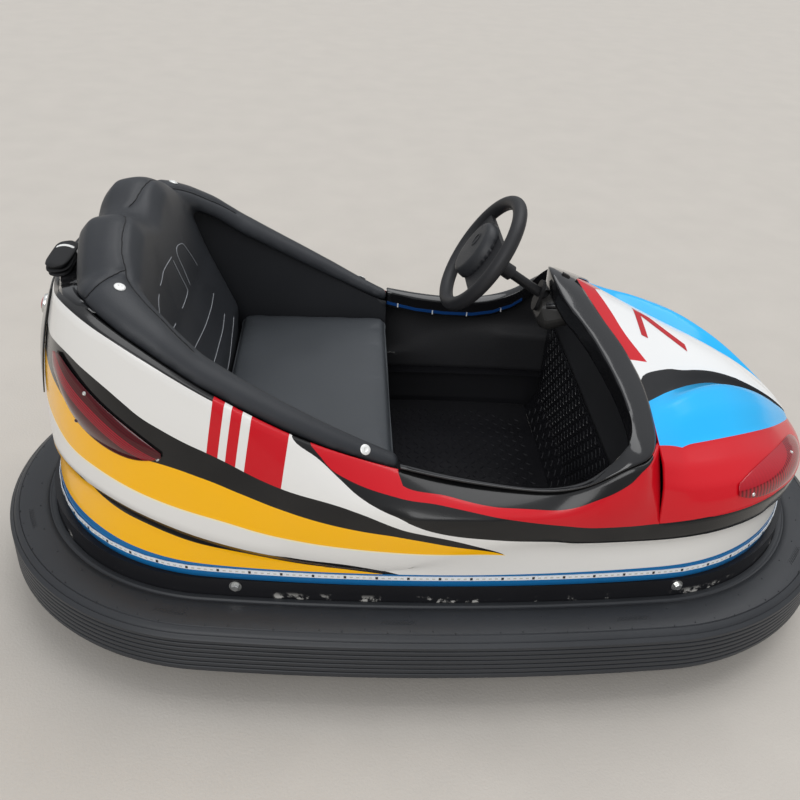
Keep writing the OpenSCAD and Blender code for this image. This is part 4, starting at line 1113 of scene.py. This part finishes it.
inflated(cushion, 4.0, blown_at_most, low.z + 0.02)
finer = cushion.modifiers.new("finer", "SUBSURF")
finer.levels = finer.render_levels = 1
settled(cushion)
cushion.data.shade_smooth()
# The cushion's vinyl is the backrest's vinyl painted paler: a painted sheen of the sky on it, not a different
# vinyl.
cushion_vinyl_painted_sheen = vinyl("cushion_vinyl_painted_sheen", (0.050, 0.055, 0.061), 0.38, 0.0007, 0.2)
coated(cushion, cushion_vinyl_painted_sheen)
piping_inset, piping_heights, squareness = 0.003, (0.012, 0.078), 0.18
piping = []
for height in piping_heights:
    ring = []
    for x, y in circle(160) + circle(160)[:1]:
        out_x = (half.x - piping_inset) * math.copysign(abs(x) ** squareness, x)
        out_y = (half.y - piping_inset) * math.copysign(abs(y) ** squareness, y)
        ring.append(Vector((middle.x + out_x, middle.y + out_y, low.z + height)))
    piping.append(ring)
# The piping is laid in the cushion's paler vinyl, so it carries the same painted sheen.
laid_cord("cushion_piping", piping, 0.0022, cushion_vinyl_painted_sheen, "chassis", tree_of(cushion), 0.35)
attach(cushion, "chassis")
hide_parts("seat_cushion")

# Side panels and seat base: the tub's lining is the same vinyl stretched flat over board, and
# screwed to the base, which is a folded steel box, painted black, under the cushion.
coated(nodes["seat_base"], black_steel)
panel_vinyl = vinyl("lining_vinyl", (0.022, 0.023, 0.026), 0.45, 0.0006, 0.2)
for side in ("left", "right"):
    lining = reworked(f"side_panel_{side}", f"tub_lining_{side}", corner=40.0, levels=1)
    settled(lining)
    squared(lining, 40)
    coated(lining, panel_vinyl)
    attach(lining, "chassis")
    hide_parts(f"side_panel_{side}")

# Steering: a moulded wheel with an oval soft pad, on a black steel shaft. The shaft runs in a
# bearing plate on the moulded pod under the cowl, and a short arm stands out beside it.
grip = finish("wheel_moulding", (0.020, 0.020, 0.022), 0.5, 800.0, 0.0005, drift=0.2)
coated(nodes["steering_wheel"], grip)
hub_pad = reworked("wheel_hub_pad", "wheel_soft_pad", corner=50.0, hollow=80.0, levels=1)
coated(hub_pad, finish("pad_moulding", (0.026, 0.027, 0.030), 0.42, 800.0, 0.0004, drift=0.2))
settled(hub_pad)
squared(hub_pad, 45)
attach(hub_pad, "steering")
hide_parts("wheel_hub_pad")
wheel_centre, column = Vector((0.092, 0, 0.7765)), Vector((0.83867, 0, -0.54464))
across, upwards = Vector((0, 1, 0)), Vector((0.54464, 0, 0.83867))
oval_across, oval_up, oval_middle = 0.011, 0.017, 0.018
# Each row of the raised oval is its size and its height over the pad.
oval_rows = [(1.0, 0.0003), (0.9, 0.0016), (0.72, 0.0016), (0.66, 0.0003)]
pad_tree, oval_points = tree_of(hub_pad), []
for x, y in circle(24):
    for size, lift in oval_rows:
        spot = wheel_centre + across * oval_across * size * x + upwards * (oval_middle + oval_up * size * y)
        hit, _ = face_met(pad_tree, spot - column * 0.2, column)
        oval_points.append(hit - column * lift)
badge = mesh_thing("pad_oval_ring", oval_points, woven(24, len(oval_rows), ring_rows=True))
squared(badge, 60)
coated(badge, grip)
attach(badge, "steering")
shaft_black = finish("shaft_black", (0.018, 0.018, 0.019), 0.32, 900.0, 0.0002, drift=0.2, metal=0.2)
for name in ("steering_shaft", "shaft_yoke", "swivel_yoke"):
    coated(nodes[name], shaft_black)
coated(nodes["dash_pod"], finish("pod_moulding", (0.026, 0.025, 0.024), 0.42, 300.0, 0.0003, drift=0.2))
plate_black = finish("bearing_plate_black", (0.009, 0.009, 0.010), 0.5, 500.0, 0.0002, drift=0.2)
coated(nodes["column_escutcheon"], plate_black)
arm_section = [(0, 0), (0.0062, 0), (0.007, 0.001), (0.007, 0.062), (0.0095, 0.063), (0.0095, 0.067),
               (0, 0.067)]
arm = turned("column_side_arm", arm_section, (0.238, -0.042, 0.676), (1, -0.1, 0.05))
coated(arm, gloss_black)
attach(arm, "chassis")

# Running gear: cast hubs and solid rubber tyres on bright turned axles, each hub held by bolts,
# the motor bolted to the fork's side, and the battery case under the seat.
wheel_rubber = finish("wheel_rubber", (0.03, 0.03, 0.032), 0.6, 500.0, 0.0005, drift=0.2)
cast = finish("cast_hub_metal", (0.42, 0.42, 0.43), 0.45, 260.0, 0.0004, drift=0.15, metal=0.8)
casing = finish("grey_casing", (0.08, 0.085, 0.09), 0.5, 300.0, 0.0004, drift=0.2)
turned_steel = finish("turned_steel", (0.62, 0.62, 0.61), 0.22, 1200.0, 0.00006, drift=0.1, metal=1.0)
for made_of, names in ((wheel_rubber, ("drive_wheel_tyre", "rear_wheel_tyre_left", "rear_wheel_tyre_right")),
                       (cast, ("drive_wheel_hub", "rear_wheel_hub_left", "rear_wheel_hub_right")),
                       (casing, ("drive_motor", "battery_block")), (turned_steel, ("rear_axle",))):
    for name in names:
        coated(nodes[name], made_of)


def bolts_round(name, node, centre, axis, circle_r, count, radius, body):
    """Bolts on a circle, each laid on the node's face."""
    carrier, spots = tree_of(nodes[node]), []
    for k in range(count):
        a = 2 * math.pi * (k + 0.5) / count
        spot = Vector(centre) + Vector((math.cos(a), 0, math.sin(a))) * circle_r
        hit, _ = face_met(carrier, spot + Vector(axis) * 0.2, -Vector(axis))
        spots.append((hit, axis, (1, 0, 0)))
    fittings(name, spots, hexagon_bolt(radius, radius * 0.75), screw_steel, body)


bolts_round("rear_hub_bolts_left", "rear_wheel_hub_left", (-.52, .3, .072), (0, 1, 0), 0.028, 4, 0.005,
            "rear_wheel_left")
bolts_round("rear_hub_bolts_right", "rear_wheel_hub_right", (-.52, -.3, .072), (0, -1, 0), 0.028, 4, 0.005,
            "rear_wheel_right")
bolts_round("drive_hub_bolts", "drive_wheel_hub", (.56, 0, .105), (0, 1, 0), 0.035, 5, 0.006, "drive_wheel")
bolts_round("motor_bolts", "drive_motor", (.56, 0, .105), (0, -1, 0), 0.05, 6, 0.005, "drive_unit")

# Accelerator: a bare steel plate with ribs pressed across it for the shoe's grip, hinged at the
# floor plate.
pedal_steel = finish("pedal_steel", (0.34, 0.35, 0.36), 0.38, 400.0, 0.0003, drift=0.25, metal=0.6)
coated(nodes["accelerator_pedal"], pedal_steel)
pedal_tree, (pedal_low, pedal_high) = tree_of(nodes["accelerator_pedal"]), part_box("accelerator_pedal")
pedal_middle, pedal_spots = (pedal_low.y + pedal_high.y) / 2, []
for k in range(6):
    x = pedal_low.x + (pedal_high.x - pedal_low.x) * (k + 0.8) / 7
    hit, facing = face_met(pedal_tree, (x, pedal_middle, 0.6), (0, 0, -1))
    if hit is not None:
        pedal_spots.append((hit, facing, (0, 1, 0)))
fittings("pedal_ribs", pedal_spots, bar(0.052, 0.004, 0.0018, 0.9), pedal_steel, "chassis")

# Lap belt, put away: its black webbing lies folded in three rolls on the rear deck, held by a
# white tie.
webbing = finish("strap_webbing", (0.012, 0.012, 0.013), 0.7, 700.0, 0.0006, drift=0.3)
fold_low, fold_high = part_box("strap_bundle")
fold_middle, fold_size = (fold_low + fold_high) / 2, fold_high - fold_low
# Each roll is, in shares of the bundle, its place forward and up, its half width and half height,
# and then how far its creases are turned.
rolls = [(0.10, 0.234, 0.36, 0.22, 0.0), (0.08, -0.054, 0.37, 0.17, 0.9), (0.14, -0.306, 0.34, 0.15, 1.7)]
roll_sides, roll_rings = 28, np.linspace(-1, 1, 26)


def in_bundle(forward, left, upward):
    """A place in the folded belt, from shares of its size."""
    return fold_middle + Vector((fold_size.x * forward, fold_size.y * left, fold_size.z * upward))


belt_points, belt_faces = [], []
for forward, upward, wide, tall, turn in rolls:
    first, last = len(belt_points), len(roll_rings) - 1
    for u in roll_rings:
        end = math.sqrt(max(0.0, 1 - abs(u) ** 5)) + 0.02
        for j, (x, y) in enumerate(circle(roll_sides)):
            fold = 1 + 0.05 * math.sin(10 * math.pi * j / roll_sides + turn * 3 + u * 1.5)
            sway = 0.03 * math.sin(u * 2 + turn)
            belt_points.append(in_bundle(forward + wide * end * fold * x, 0.49 * u,
                                         upward + tall * end * fold * y + sway))
    belt_faces += woven(last + 1, roll_sides, first, ring_columns=True)
    belt_faces += [lid_on(first, roll_sides)[::-1], lid_on(first + last * roll_sides, roll_sides)]
belt = mesh_thing("folded_lap_belt", belt_points, belt_faces)
squared(belt, 60)
coated(belt, webbing)
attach(belt, "chassis")
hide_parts("strap_bundle")
# Each row of the tie is how far along the belt in metres, and its size.
tie_rows = [(-0.004, 1.0), (-0.003, 1.03), (0.003, 1.03), (0.004, 1.0)]
tie_points = []
for x, y in circle(40):
    for along, size in tie_rows:
        spot = in_bundle(0.1 + 0.385 * size * x, 0.18, -0.01 + 0.5 * size * y)
        tie_points.append(spot + Vector((0, along, 0)))
tie = mesh_thing("belt_tie", tie_points, [face[::-1] for face in woven(40, len(tie_rows), ring_rows=True)])
tie.modifiers.new("thick", "SOLIDIFY").thickness = 0.0012
coated(tie, finish("white_tie", (0.78, 0.78, 0.76), 0.5, 500.0, 0.0003, drift=0.08))
settled(tie)
squared(tie, 40)
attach(tie, "chassis")
